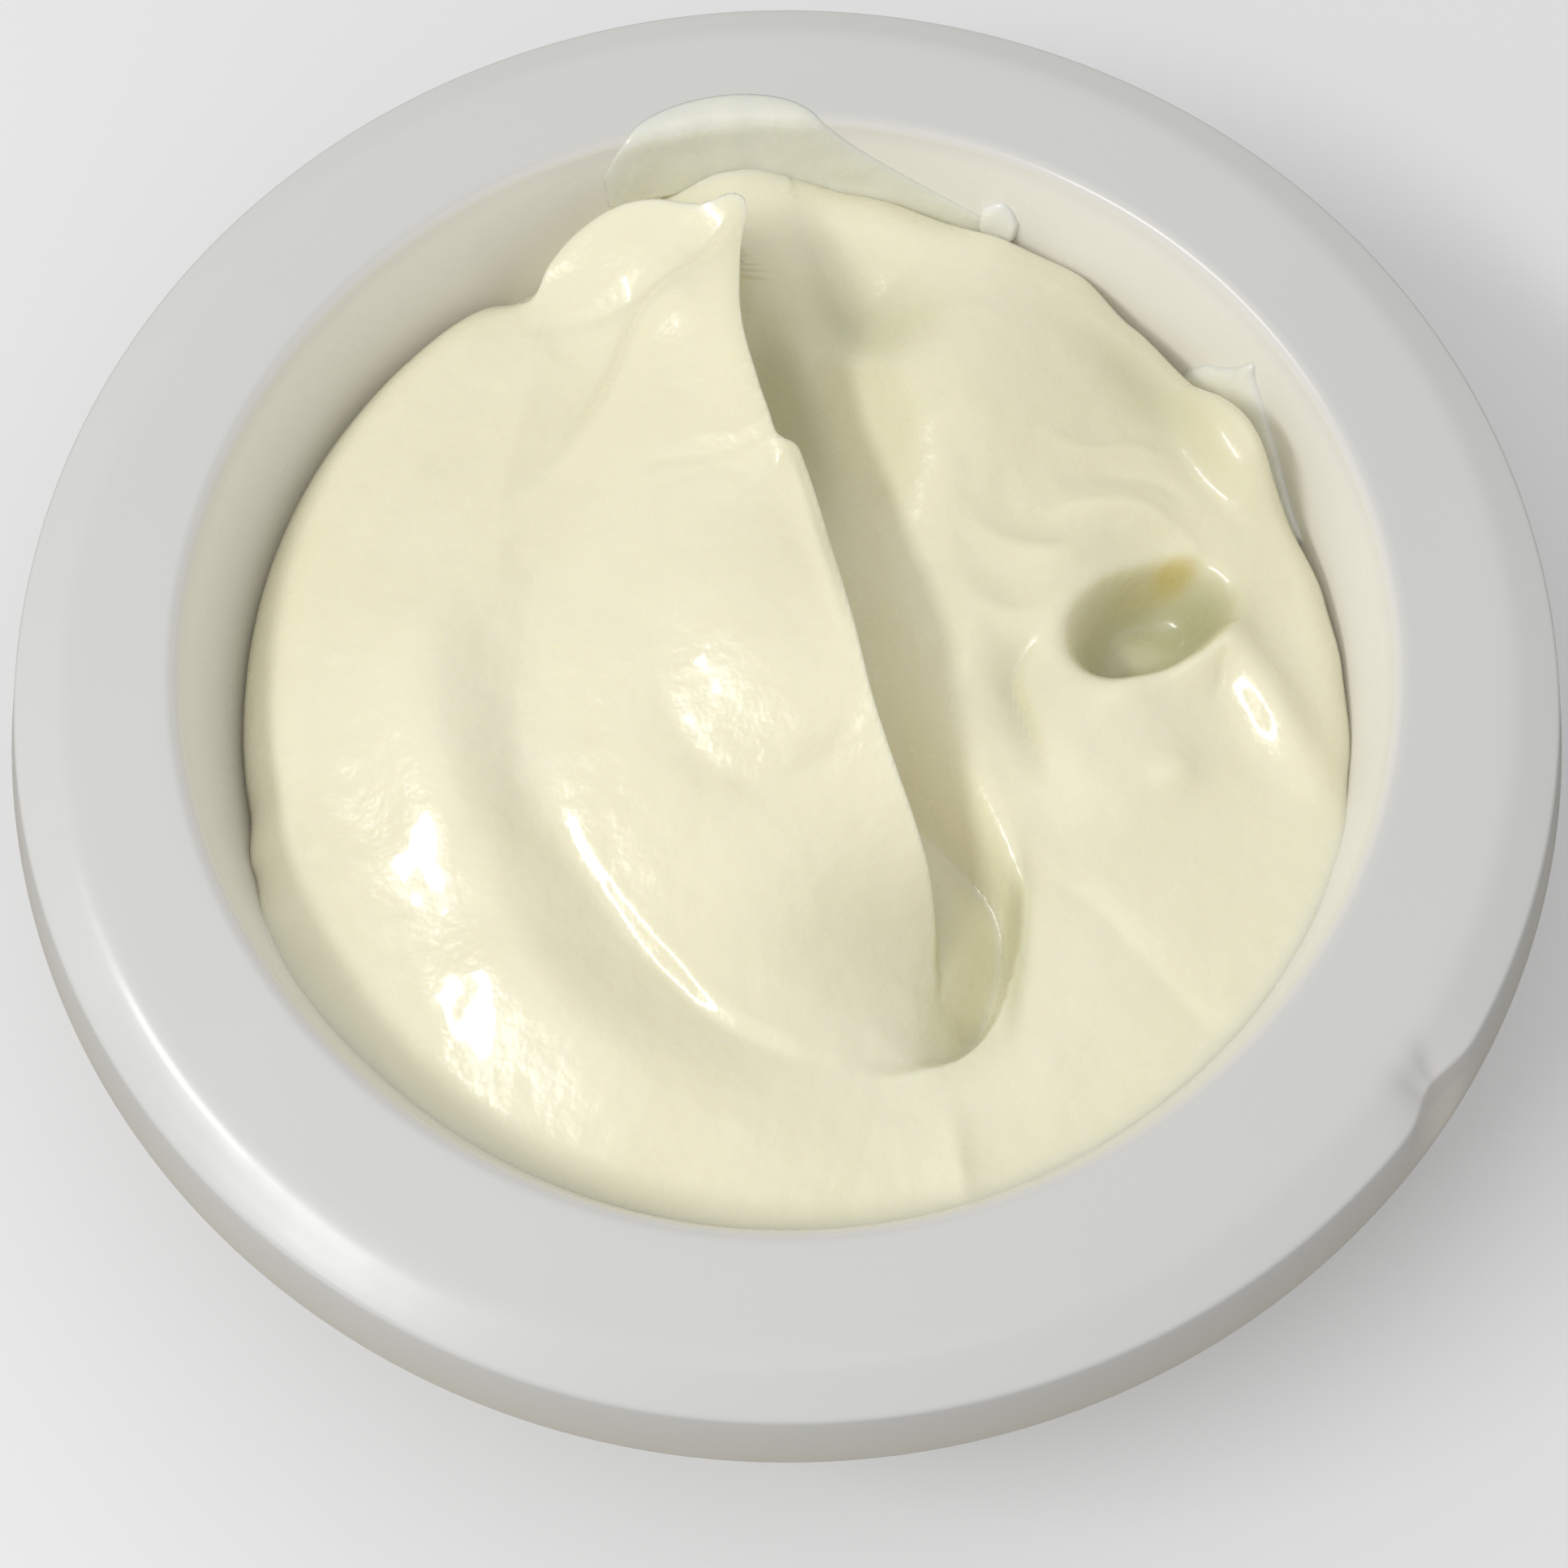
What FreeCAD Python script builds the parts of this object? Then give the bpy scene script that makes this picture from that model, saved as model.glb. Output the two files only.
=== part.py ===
"""A wide-rimmed white bowl with a helping of sour cream, folded by a spoon.

Millimetres, +Z up, origin at the middle of the foot.  The bowl is one turned
shell: a well with sloping walls, a flat rim, a short flared skirt and a foot
ring, with one small dent in the edge of the rim.  The cream is one solid that
fills the well up to its folded surface.
"""
import FreeCAD, Part
import Sketcher
import math
import os

V = FreeCAD.Vector

# Driving dimensions, kept in the sheet under the same names.
SIZES = {
    "opening_radius": 62.2,     # well, at the level of the rim
    "well_batter": 7.6,         # well narrower where wall and floor would meet
    "well_depth": 38.0,         # rim down to the floor inside
    "wall": 2.4,                # the moulding's thickness
    "level_width": 11.8,        # level part of the rim
    "shoulder_width": 5.0,      # from there out to the corner of rim and skirt
    "shoulder_fall": 2.0,       # corner below the level part
    "skirt_flare": 3.1,         # hem of the skirt outside the corner
    "skirt_drop": 10.9,         # hem below the level part
    "foot_inset": 19.0,         # foot ring inside the floor's corner
    "foot_width": 3.0,
    "foot_height": 3.2,
    "lip_round": 1.6,           # rim into well
    "shoulder_round": 6.0,      # level part into shoulder
    "corner_round": 1.0,        # shoulder into skirt
    "hem_round": 0.7,           # both sides of the hem
    "floor_round": 18.0,        # wall into floor, inside
    "dent_angle": 322.5,        # round from +X
    "dent_ball": 5.0,           # radius of the ball that would fit the dent
    "dent_depth": 1.1,
    "cream_drop": 8.6,          # the cream's general level, below the rim
    "fold_relief": 1.0,         # heights of the folds, as a share of those drawn
    "edge_reach": 2.0,          # how far the cut block of cream passes the well
}

FOLD_MAP_RADIUS = 62.2          # the well's opening for which the folds are drawn
GRID = 62                       # spans of the cream's surface each way
PEAK_ROOM = 12.0                # cream may stand this far above the rim

doc = FreeCAD.newDocument("bowl_of_sour_cream")
sheet = doc.addObject("Spreadsheet::Sheet", "sizes")
for row, (alias, value) in enumerate(SIZES.items(), start=1):
    sheet.set("A%d" % row, alias)
    sheet.set("B%d" % row, str(value))
    sheet.setAlias("B%d" % row, alias)
doc.recompute()


def size(alias):
    """A driving dimension, read from the sheet."""
    return float(sheet.get(alias))


def reckon(words):
    """Value of a sum of sizes, such as 'foot_height + wall'."""
    total = 0.0
    sign = 1.0
    for word in words.split():
        if word in "+-":
            sign = 1.0 if word == "+" else -1.0
        elif word != "axis":
            total += sign * size(word)
    return total


def bound(words):
    """The same sum as an expression on the sheet."""
    return " ".join(word if word in "+-" else "sizes." + word for word in words.split())


# ---------------------------------------------------------------- the bowl

RIM = "foot_height + wall + well_depth"
FLOOR_CORNER = "opening_radius - well_batter"
SHOULDER = "opening_radius + level_width"
CORNER = SHOULDER + " + shoulder_width"
HEM = CORNER + " + skirt_flare"
FOOT = FLOOR_CORNER + " - foot_inset"

WELL_PROFILE = [
    ("axis", "foot_height + wall"),
    (FLOOR_CORNER, "foot_height + wall"),
    ("opening_radius", RIM),
]

BOWL_PROFILE = WELL_PROFILE + [
    (SHOULDER, RIM),
    (CORNER, RIM + " - shoulder_fall"),
    (HEM, RIM + " - skirt_drop"),
    (HEM + " - wall", RIM + " - skirt_drop"),
    (CORNER + " - wall", RIM + " - shoulder_fall - wall"),
    ("opening_radius + wall", RIM + " - wall"),
    (FLOOR_CORNER + " + wall", "foot_height"),
    (FOOT, "foot_height"),
    (FOOT, "axis"),
    (FOOT + " - foot_width", "axis"),
    (FOOT + " - foot_width", "foot_height"),
    ("axis", "foot_height"),
]


def turned_body(label, profile):
    """A PartDesign body: one closed half profile turned about the Z axis."""
    body = doc.addObject("PartDesign::Body", label)
    sketch = body.newObject("Sketcher::SketchObject", label + "_profile")
    plane = [item for item in body.Origin.OriginFeatures if item.Role == "XZ_Plane"][0]
    sketch.AttachmentSupport = [(plane, "")]
    sketch.MapMode = "FlatFace"
    corners = [V(reckon(across), reckon(up), 0) for across, up in profile]
    count = len(corners)
    for index in range(count):
        sketch.addGeometry(Part.LineSegment(corners[index], corners[(index + 1) % count]))
    for index in range(count):
        sketch.addConstraint(Sketcher.Constraint("Coincident", index, 2, (index + 1) % count, 1))
    for index, (across, up) in enumerate(profile):
        place_corner(sketch, index, across, "DistanceX", -2)
        place_corner(sketch, index, up, "DistanceY", -1)
    turn = body.newObject("PartDesign::Revolution", label + "_turned")
    turn.Profile = sketch
    turn.ReferenceAxis = (sketch, ["V_Axis"])
    turn.Angle = 360
    doc.recompute()
    return body, turn


def place_corner(sketch, index, words, direction, axis):
    """Ties one corner of a profile to the sheet, or to the axis."""
    if words == "axis":
        sketch.addConstraint(Sketcher.Constraint("PointOnObject", index, 1, axis))
        return
    rule = Sketcher.Constraint(direction, -1, 1, index, 1, reckon(words))
    number = sketch.addConstraint(rule)
    name = "corner_%d_%s" % (index, direction[-1].lower())
    sketch.renameConstraint(number, name)
    sketch.setExpression("Constraints." + name, bound(words))


def circle_edges(shape, radius, height):
    """Names of the circular edges of this radius at this height."""
    names = []
    for number, edge in enumerate(shape.Edges, start=1):
        curve = edge.Curve
        if not isinstance(curve, Part.Circle):
            continue
        if abs(curve.Radius - radius) < 0.01 and abs(curve.Center.z - height) < 0.01:
            names.append("Edge%d" % number)
    return names


def round_off(body, name, corners, radius_words):
    """Rounds the body's circular edges at the named corners."""
    base = body.Tip
    names = []
    for across, up in corners:
        names += circle_edges(base.Shape, reckon(across), reckon(up))
    fillet = body.newObject("PartDesign::Fillet", name)
    fillet.Base = (base, names)
    fillet.Radius = reckon(radius_words)
    fillet.setExpression("Radius", bound(radius_words))
    doc.recompute()
    body.Tip = fillet
    return fillet


# The ball stands off the corner along a line that rises 45 degrees outwards.
DENT_LIFT = " + (sizes.dent_ball - sizes.dent_depth) * sin(45 deg)"
DENT_REACH = "(" + bound(CORNER) + DENT_LIFT + ")"


def make_bowl():
    """The turned shell with its rounded corners, less the dent in the rim's edge."""
    body, _ = turned_body("bowl_shell", BOWL_PROFILE)
    round_off(body, "shoulder_fillet", [BOWL_PROFILE[3]], "shoulder_round")
    round_off(body, "corner_fillet", [BOWL_PROFILE[4]], "corner_round")
    round_off(body, "hem_fillet", [BOWL_PROFILE[5], BOWL_PROFILE[6]], "hem_round")
    round_off(body, "outer_floor_fillet", [BOWL_PROFILE[9]], "floor_round + wall")
    round_off(body, "floor_fillet", [BOWL_PROFILE[1]], "floor_round")
    round_off(body, "lip_fillet", [BOWL_PROFILE[2]], "lip_round")
    ball = doc.addObject("Part::Sphere", "dent_ball")
    ball.setExpression("Radius", "sizes.dent_ball")
    ball.setExpression("Placement.Base.x", DENT_REACH + " * cos(sizes.dent_angle * 1 deg)")
    ball.setExpression("Placement.Base.y", DENT_REACH + " * sin(sizes.dent_angle * 1 deg)")
    ball.setExpression("Placement.Base.z", bound(RIM + " - shoulder_fall") + DENT_LIFT)
    bowl = doc.addObject("Part::Cut", "bowl")
    bowl.Base = body
    bowl.Tool = ball
    bowl.Label = "bowl"
    return bowl


# ---------------------------------------------------------------- the cream
#
# The folds are drawn on a map seen from above, in millimetres from the bowl's
# axis, with heights from the cream's general level.  One long edge parts two
# sheets: the helping that the spoon turned over, on the left, stands proud of
# the trough, on the right.  The trough's far side is the edge of the sheet that
# the spoon cut into.

# x, y, lip height, foot height, rise's width and steepness, overhang
FOLD_EDGE = [
    (19.0, -68.0, 0.0, 0.0, 8.0, 1.0, 0.0),
    (18.6, -58.0, 0.0, 0.0, 8.0, 1.0, 0.0),
    (16.8, -50.5, -0.5, -0.5, 8.0, 1.5, 0.0),
    (16.0, -46.5, -1.8, -1.8, 6.0, 2.0, 0.0),
    (15.8, -42.4, -2.4, -2.4, 7.5, 1.8, 0.0),
    (15.6, -38.0, -2.6, -2.6, 8.5, 1.6, 0.0),
    (15.4, -33.4, -2.2, -2.7, 9.0, 1.5, 0.0),
    (15.2, -29.0, -0.8, -3.6, 10.0, 1.4, -0.4),
    (14.4, -24.8, 2.8, -5.4, 11.0, 1.2, -0.4),
    (12.8, -20.4, 6.4, -6.0, 11.5, 1.0, 0.6),
    (8.9, -10.2, 9.4, -5.0, 13.0, 1.0, 1.6),
    (6.8, -1.6, 9.8, -3.6, 13.0, 1.0, 1.4),
    (4.6, 7.2, 10.0, -2.8, 12.0, 1.0, 1.0),
    (2.7, 14.0, 10.3, -2.8, 12.0, 1.0, 1.0),
    (-0.2, 20.2, 10.7, -3.0, 12.0, 1.0, 1.5),
    (-3.2, 27.2, 12.2, -3.4, 13.0, 1.0, 2.5),
    (-4.9, 34.0, 13.0, -3.6, 14.0, 1.0, 3.0),
    (-5.1, 41.9, 13.0, -2.6, 12.0, 1.0, 2.5),
    (-4.5, 48.3, 12.8, 0.6, 9.0, 1.0, 1.5),
    (-6.0, 50.6, 10.8, 1.6, 7.0, 1.0, 1.0),
    (-10.0, 50.8, 8.2, 1.1, 9.0, 1.2, 0.5),
    (-14.6, 52.4, 6.8, -0.4, 9.0, 1.4, 0.0),
    (-19.3, 52.6, 5.4, -2.4, 8.0, 1.6, 0.0),
    (-23.8, 50.8, 3.6, -5.4, 7.0, 1.6, 0.0),
    (-26.9, 47.4, 1.4, -7.4, 6.0, 1.4, 0.0),
    (-29.2, 44.0, -0.4, -8.4, 4.0, 1.0, 0.0),
    (-33.0, 48.0, -6.9, -8.4, 3.0, 1.0, 0.0),
    (-40.0, 58.0, -8.4, -8.4, 3.0, 1.0, 0.0),
]

# The edge of the sheet that was cut into: x, y, width of its face.
SHEET_EDGE = [
    (-28.5, -8.0, 7.0), (-26.0, -20.0, 5.0), (-18.7, -29.3, 3.4), (-13.7, -34.2, 2.6),
    (-5.1, -41.6, 2.2), (7.4, -45.5, 2.0), (14.6, -44.6, 1.6), (18.2, -43.0, 1.3),
    (21.0, -39.5, 1.2), (22.8, -34.5, 1.2), (24.0, -29.0, 1.4), (23.9, -25.0, 3.0),
    (22.8, -19.6, 6.5), (21.4, -13.6, 10.0), (20.6, -7.0, 12.5), (20.2, 2.0, 14.5),
    (19.2, 12.0, 16.0), (17.6, 22.0, 16.0), (13.6, 32.0, 12.0), (8.4, 40.0, 7.5),
    (4.6, 46.0, 5.0), (2.0, 54.0, 4.0),
]

# Creases and ridges: rows of x, y, height; then widths on the left and right, steepness.
OUTER_RIDGE = ([(-33, 24, 0.2), (-36, 10, 1.6), (-38, -3, 3.6), (-33.5, -17, 4.4),
                (-29, -27, 3.6), (-25, -36, 4.0), (-17, -43.5, 3.9), (-4, -49, 2.2), (8, -52, 0.5)],
               7.5, 9.0, 2.0)
HELPING_LINES = [
    OUTER_RIDGE,
    ([(2, 14, 0.0), (-11, 18.6, -0.3), (-22, 10.4, -0.6), (-28.2, -5, -1.2),
      (-25.6, -21.3, -2.5), (-19.0, -30.5, -1.7), (-12.8, -36.0, -0.5), (-4.6, -41.6, -0.3),
      (4, -44.0, -0.2)],
     6.0, 7.0, 1.5),
    ([(-14, -2, -0.1), (-12.4, -9, -0.7), (-8.0, -14.4, -0.9), (-2, -16.8, -0.9),
      (4, -14.5, -0.6), (7, -9.5, -0.1)], 2.6, 3.4, 1.4),
    ([(-26.5, 42.5, 0.4), (-21.0, 46.0, 0.9), (-15, 47.2, 0.7), (-9.5, 48.2, 0.1)], 5.0, 5.0, 2.0),
    ([(-27, 40, -0.4), (-20, 40.3, -0.8), (-10.5, 44.2, -0.9), (-8.2, 47.6, -0.4)], 2.6, 2.6, 1.2),
    ([(-28.3, 36, 0.6), (-29.8, 25, 0.7), (-30.9, 15, 0.6), (-30.5, 4.3, 0.2)], 3.0, 4.5, 1.4),
    ([(-16.5, 18.5, 0.0), (-12.5, 19.6, -0.16), (-7.5, 19.2, -0.18), (-3.5, 20.3, -0.1)],
     0.7, 0.7, 1.6),
    ([(-15.5, 16.4, 0.0), (-12.0, 17.0, -0.14), (-8.5, 17.8, -0.16), (-4.5, 17.0, -0.1)],
     0.6, 0.6, 1.6),
    ([(-12.0, 21.4, 0.0), (-9.0, 21.8, 0.16), (-5.0, 21.6, 0.18), (-2.0, 22.8, 0.1)],
     0.7, 0.7, 1.6),
    ([(-31.5, 30.0, 0.0), (-38.0, 25.5, 0.5), (-43.5, 17.5, 0.6), (-47.5, 6.0, 0.2)], 2.5, 4.0, 1.6),
]
SHEET_LINES = [
    OUTER_RIDGE,
    ([(26.2, 2.2, -0.2), (24.2, -1.6, -1.5), (24.0, -4.2, -1.7), (25.4, -9.4, -1.2),
      (26.9, -15.2, -0.1)], 0.8, 3.2, 1.2),
    ([(43.2, -0.6, 1.6), (46.2, 0.6, 2.4), (49.3, -2.9, 2.6), (51.8, -8.0, 2.6),
      (54.6, -13.4, 1.0)], 3.0, 3.0, 2.0),
    ([(26, -24, -0.3), (32.5, -29.5, -0.8), (43.4, -43, -0.3)], 2.5, 5.0, 1.2),
    ([(15.8, -48, 0.2), (16.8, -54, 0.8), (17.6, -59, 0.4)], 1.6, 2.6, 1.4),
    ([(27.0, 25.5, 0.0), (32.0, 23.4, 0.5), (38.0, 24.0, 0.5), (42.0, 22.6, 0.1)], 1.0, 1.5, 1.6),
    ([(29.0, 19.4, 0.0), (34.0, 20.4, -0.5), (40.0, 19.6, -0.5), (43.5, 17.0, -0.1)],
     1.0, 1.4, 1.6),
    ([(27.0, 16.0, 0.0), (32.0, 17.2, 0.6), (38.0, 16.8, 0.7), (43.5, 13.2, 0.4)], 1.1, 1.6, 1.6),
    ([(18.0, 17.5, 0.0), (23.0, 13.2, 0.7), (28.5, 11.6, 0.9), (33.0, 13.0, 0.3)], 1.4, 2.4, 1.6),
    ([(16.4, 11.0, 0.0), (20.5, 6.4, 0.5), (24.5, 4.6, 0.6), (28.5, 5.6, 0.2)], 1.4, 2.4, 1.6),
    ([(-2.0, 57.5, 1.0), (8.0, 55.2, 1.2), (15.0, 52.4, 1.2), (21.5, 49.8, 0.8)], 4.4, 4.4, 2.0),
    ([(31.5, -3.6, 0.2), (34.6, -4.4, 0.9), (38.4, -2.6, 1.0), (43.0, -1.4, 0.8),
      (46.5, 2.4, 0.6)], 1.6, 2.6, 2.0),
]
TROUGH_LINES = [
    ([(16.5, -11.0, 0.0), (19.6, -18.0, -1.2), (21.8, -24.0, -2.6), (22.6, -30.0, -4.4),
      (22.0, -35.5, -5.4), (20.4, -39.5, -4.8), (18.2, -42.8, -2.4), (16.0, -46.0, 0.0)],
     1.6, 6.0, 1.6),
]

# Mounds (hollows, below nothing): height, x, y, half length, half width, turn, steepness.
HELPING_BODY = [(7.2, -3, 3, 26, 35, 0, 2)]
HELPING_MOUNDS = [(1.9, 1.8, -2.0, 14.0, 9.0, -42, 3.5), (0.6, -11.6, 37.4, 2.4, 3.4, 0, 2),
                  (0.8, -2.0, -30, 10, 9, 0, 2),
                  (2.2, -16.0, 41.5, 8.0, 7.5, 0, 2.5)]
SHEET_MOUNDS = [
    (4.4, 28.0, 32.5, 17.0, 13.6, -14, 2.8),
    (0.4, 15.0, 10.0, 11.0, 13.0, 0, 3),
    (1.2, 14.0, 20.0, 6.0, 6.0, 0, 2),
    (-3.6, 7.5, 42.0, 8.5, 6.5, -20, 2),
    (0.6, 20.0, 1.0, 3.0, 4.0, 0, 2),
    (2.4, 38.0, 9.0, 13.0, 12.0, 20, 4),
    (-2.6, 41.0, 11.0, 8.5, 5.0, -5, 2),
    (-9.4, 38.6, 4.0, 8.0, 5.3, 24, 5),
    (-1.6, 34.4, 0.4, 3.2, 3.0, 20, 2),
    (1.9, 32.6, -10.2, 9.0, 7.8, 0, 3),
    (1.0, 40.4, -13.4, 2.6, 2.2, 20, 2),
    (5.2, 48.2, 24.0, 3.6, 7.5, 28, 3),
    (1.6, 50.0, 30.0, 1.3, 2.8, 20, 2),
    (2.2, 24.0, 53.4, 5.0, 2.6, -25, 2),
    (0.7, 36.0, -30.0, 10.0, 9.0, 0, 2),
    (0.5, 2.0, -54.0, 16.0, 7.0, 0, 2),
]

# Round the wall, in degrees from +X: level against the wall, width of the rolled edge.
WALL_LINE = [
    (-180, -8.2, 9.0), (-165, -7.6, 8.0), (-157, -3.6, 6.0), (-150, 0.0, 5.0),
    (-143, 1.8, 4.0), (-128, 0.2, 5.2), (-110, 0.4, 4.8), (-90, 0.8, 3.5),
    (-60, 0.8, 3.5), (-42, 1.8, 3.5), (-31, 1.4, 3.5), (-21, 0.2, 4.0), (-11, -2.4, 4.0),
    (0, -4.4, 4.0), (8, -6.0, 4.0), (18, -9.0, 4.0), (38, -10.4, 5.0), (47, -8.0, 6.0),
    (56, -4.0, 6.0), (67, -6.0, 6.0), (82, -2.4, 6.0), (96, 3.2, 8.0), (109, -3.4, 5.0),
    (120, -8.8, 5.0), (140, -8.8, 6.5), (158, -8.4, 7.5), (180, -8.2, 9.0),
]

HELPING_BASE = -0.4             # the turned-over sheet's level, away from its body
LOBE = (27.0, 32.5, 15.0)       # middle and reach of the lobe at the back right
LOBE_TILT = -0.24               # it falls away to the right
FRONT = (12.0, 26.0)            # this far to the front, the cut sheet shows past the helping
FACE_PER_DROP = 0.55            # surface given to the fold's face, for each mm it drops
FULL_OVERHANG_DROP = 4.0        # a fold that drops this far hangs over in full
RELAX = 9.0                     # the surface is even again this far past that face
EDGE_BLUR = 1.2
WALL_ROOM = 5.0                 # the fold flattens out this near the wall


def eased(value, start, end):
    """0 before start, 1 after end, smooth between."""
    share = min(max((value - start) / (end - start), 0.0), 1.0)
    return share * share * (3.0 - 2.0 * share)


def between(before, after, share):
    """Part of the way from one number or row to another."""
    if isinstance(before, (int, float)):
        return before + (after - before) * share
    return [a + (b - a) * share for a, b in zip(before, after)]


def smooth_rows(rows, steps=6):
    """Rows along a smooth line through the given ones."""
    first = between(rows[0], rows[1], -1.0)
    last = between(rows[-1], rows[-2], -1.0)
    padded = [first] + [list(row) for row in rows] + [last]
    result = []
    for index in range(1, len(padded) - 2):
        a, b, c, d = padded[index - 1:index + 3]
        for step in range(steps):
            u = step / steps
            weights = (-u + 2 * u * u - u ** 3, 2 - 5 * u * u + 3 * u ** 3,
                       u + 4 * u * u - 3 * u ** 3, -u * u + u ** 3)
            row = [sum(w * p[k] for w, p in zip(weights, (a, b, c, d))) / 2 for k in range(len(b))]
            result.append(row)
    result.append(padded[-2])
    return result


def locate(line, x, y):
    """Distance from a line (positive on its right), and the line's row there."""
    best = None
    for a, b in zip(line, line[1:]):
        across = b[0] - a[0]
        along = b[1] - a[1]
        share = ((x - a[0]) * across + (y - a[1]) * along) / (across ** 2 + along ** 2)
        share = min(max(share, 0.0), 1.0)
        gap = math.hypot(x - a[0] - share * across, y - a[1] - share * along)
        if best is None or gap < best[0]:
            best = (gap, a, b, share)
    gap, a, b, share = best
    row = between(a, b, share)
    turn = (b[0] - a[0]) * (y - row[1]) - (b[1] - a[1]) * (x - row[0])
    return (gap if turn < 0 else -gap), row


def locate_evenly(line, x, y):
    """The same, with the row's further values averaged over what is about as near."""
    gap, row = locate(line, x, y)
    total = 0.0
    mixed = [0.0] * len(row)
    for a, b in zip(line, line[1:]):
        middle = between(a, b, 0.5)
        further = math.hypot(x - middle[0], y - middle[1]) - abs(gap)
        weight = math.exp(-further / EDGE_BLUR)
        total += weight
        mixed = [m + weight * value for m, value in zip(mixed, middle)]
    return gap, row[:2] + [m / total for m in mixed[2:]]


def creases(table, x, y):
    """Sum of the creases and ridges of a table."""
    total = 0.0
    for line, left_width, right_width, steepness in table:
        gap, row = locate(line, x, y)
        width = right_width if gap > 0 else left_width
        total += row[2] * math.exp(-(abs(gap) / width) ** steepness)
    return total


def mounds(table, x, y):
    """Sum of the rounded mounds of a table."""
    total = 0.0
    for height, centre_x, centre_y, length, width, turn, steepness in table:
        c = math.cos(math.radians(turn))
        s = math.sin(math.radians(turn))
        along = ((x - centre_x) * c + (y - centre_y) * s) / length
        across = ((y - centre_y) * c - (x - centre_x) * s) / width
        total += height * math.exp(-math.hypot(along, across) ** steepness)
    return total


def wall_line(angle):
    """Cream's level against the wall, and width of its rolled edge, at an angle."""
    for before, after in zip(WALL_LINE, WALL_LINE[1:]):
        if angle <= after[0]:
            return between(before, after, eased(angle, before[0], after[0]))[1:]
    return WALL_LINE[-1][1:]


def smoothed(table):
    """The table's lines made smooth."""
    return [(smooth_rows(line), left, right, steepness) for line, left, right, steepness in table]


FOLD_LINE = smooth_rows(FOLD_EDGE)
SHEET_LINE = smooth_rows(SHEET_EDGE)
HELPING_CREASES = smoothed(HELPING_LINES)
SHEET_CREASES = smoothed(SHEET_LINES)
TROUGH_CREASES = smoothed(TROUGH_LINES)


def sheet_height(x, y):
    """The sheet that the spoon cut into: the front and the right of the bowl."""
    lobe = math.exp(-(math.hypot(x - LOBE[0], y - LOBE[1]) / LOBE[2]) ** 4)
    level = mounds(SHEET_MOUNDS, x, y) + creases(SHEET_CREASES, x, y)
    return level + LOBE_TILT * (x - LOBE[0]) * lobe


def on_sheet(x, y):
    """0 within the spoon's cut, 1 on the sheet beyond its edge."""
    gap, row = locate_evenly(SHEET_LINE, x, y)
    share = min(max(1.0 + gap / row[2], 0.0), 1.0)
    soft = eased(row[2], 0.0, 5.0)
    return between(share ** 2, eased(share, 0.0, 1.0), soft)


def helping_height(x, y, gap, row):
    """The sheet that the spoon turned over; gap is how far inside its edge."""
    level = HELPING_BASE + mounds(HELPING_BODY, x, y)
    level += (row[2] - level) * math.exp(-(gap / row[4]) ** row[5])
    level += mounds(HELPING_MOUNDS, x, y) + creases(HELPING_CREASES, x, y)
    level += creases(TROUGH_CREASES, x, y)
    share = on_sheet(x, y) * eased(-y, *FRONT)
    return between(level, sheet_height(x, y), share)


def trough_height(x, y, row):
    """The trough that the spoon left, up to the sheet that it cut into."""
    floor = row[3] + creases(TROUGH_CREASES, x, y)
    return between(floor, sheet_height(x, y), on_sheet(x, y))


def folded_point(s, t, inside):
    """Where a point of the flat map (s, t) lies on the folded surface; inside is its room."""
    gap, row = locate_evenly(FOLD_LINE, s, t)
    drop = max(row[2] - row[3], 0.0)
    room = eased(inside, 0.0, WALL_ROOM)
    face = FACE_PER_DROP * drop * room
    overhang = row[6] * eased(drop, 0.0, FULL_OVERHANG_DROP) * room
    if gap <= 0:
        return s, t, helping_height(s, t, -gap, row)
    if gap < face:
        share = eased(gap, 0.0, face)
        moved = -overhang * share
    else:
        share = 1.0
        moved = gap - (face + overhang) * (1.0 - eased(gap - face, 0.0, RELAX))
    x = row[0] + (s - row[0]) * moved / gap
    y = row[1] + (t - row[1]) * moved / gap
    level = trough_height(x, y, row)
    if share < 1.0:
        level = between(helping_height(x, y, 0.0, row), level, share)
    return x, y, level


def cream_point(s, t):
    """A point of the cream's surface in the bowl, for a point of the flat map."""
    x, y, level = folded_point(s, t, FOLD_MAP_RADIUS - math.hypot(s, t))
    wall_level, roll_width = wall_line(math.degrees(math.atan2(y, x)))
    slope = size("well_batter") / size("well_depth")
    wall_radius = FOLD_MAP_RADIUS - (size("cream_drop") - wall_level) * slope
    near_wall = 1.0 - (wall_radius - math.hypot(x, y)) / roll_width
    near_wall = min(max(near_wall, 0.0), 1.0)
    level += (wall_level - level) * (1.0 - math.sqrt(1.0 - near_wall ** 2))
    spread = size("opening_radius") / FOLD_MAP_RADIUS
    height = reckon(RIM + " - cream_drop") + size("fold_relief") * level
    return V(x * spread, y * spread, height)


def cream_surface():
    """The folded surface, a smooth patch over a square larger than the well."""
    half = FOLD_MAP_RADIUS + size("edge_reach")
    spread = size("opening_radius") / FOLD_MAP_RADIUS
    places = [half * (2.0 * index / GRID - 1.0) for index in range(GRID + 1)]
    poles = [[cream_point(s, t) for t in places] for s in places]
    for index in range(GRID + 1):
        for side, value in ((0, -half), (GRID, half)):
            poles[side][index].x = value * spread
            poles[index][side].y = value * spread
            poles[side][index].y = places[index] * spread
            poles[index][side].x = places[index] * spread
    spans = GRID + 1 - 3
    knots = [float(number) for number in range(spans + 1)]
    repeats = [4] + [1] * (spans - 1) + [4]
    patch = Part.BSplineSurface()
    patch.buildFromPolesMultsKnots(poles, repeats, repeats, knots, knots, False, False, 3, 3)
    return patch.toShape()


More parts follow.
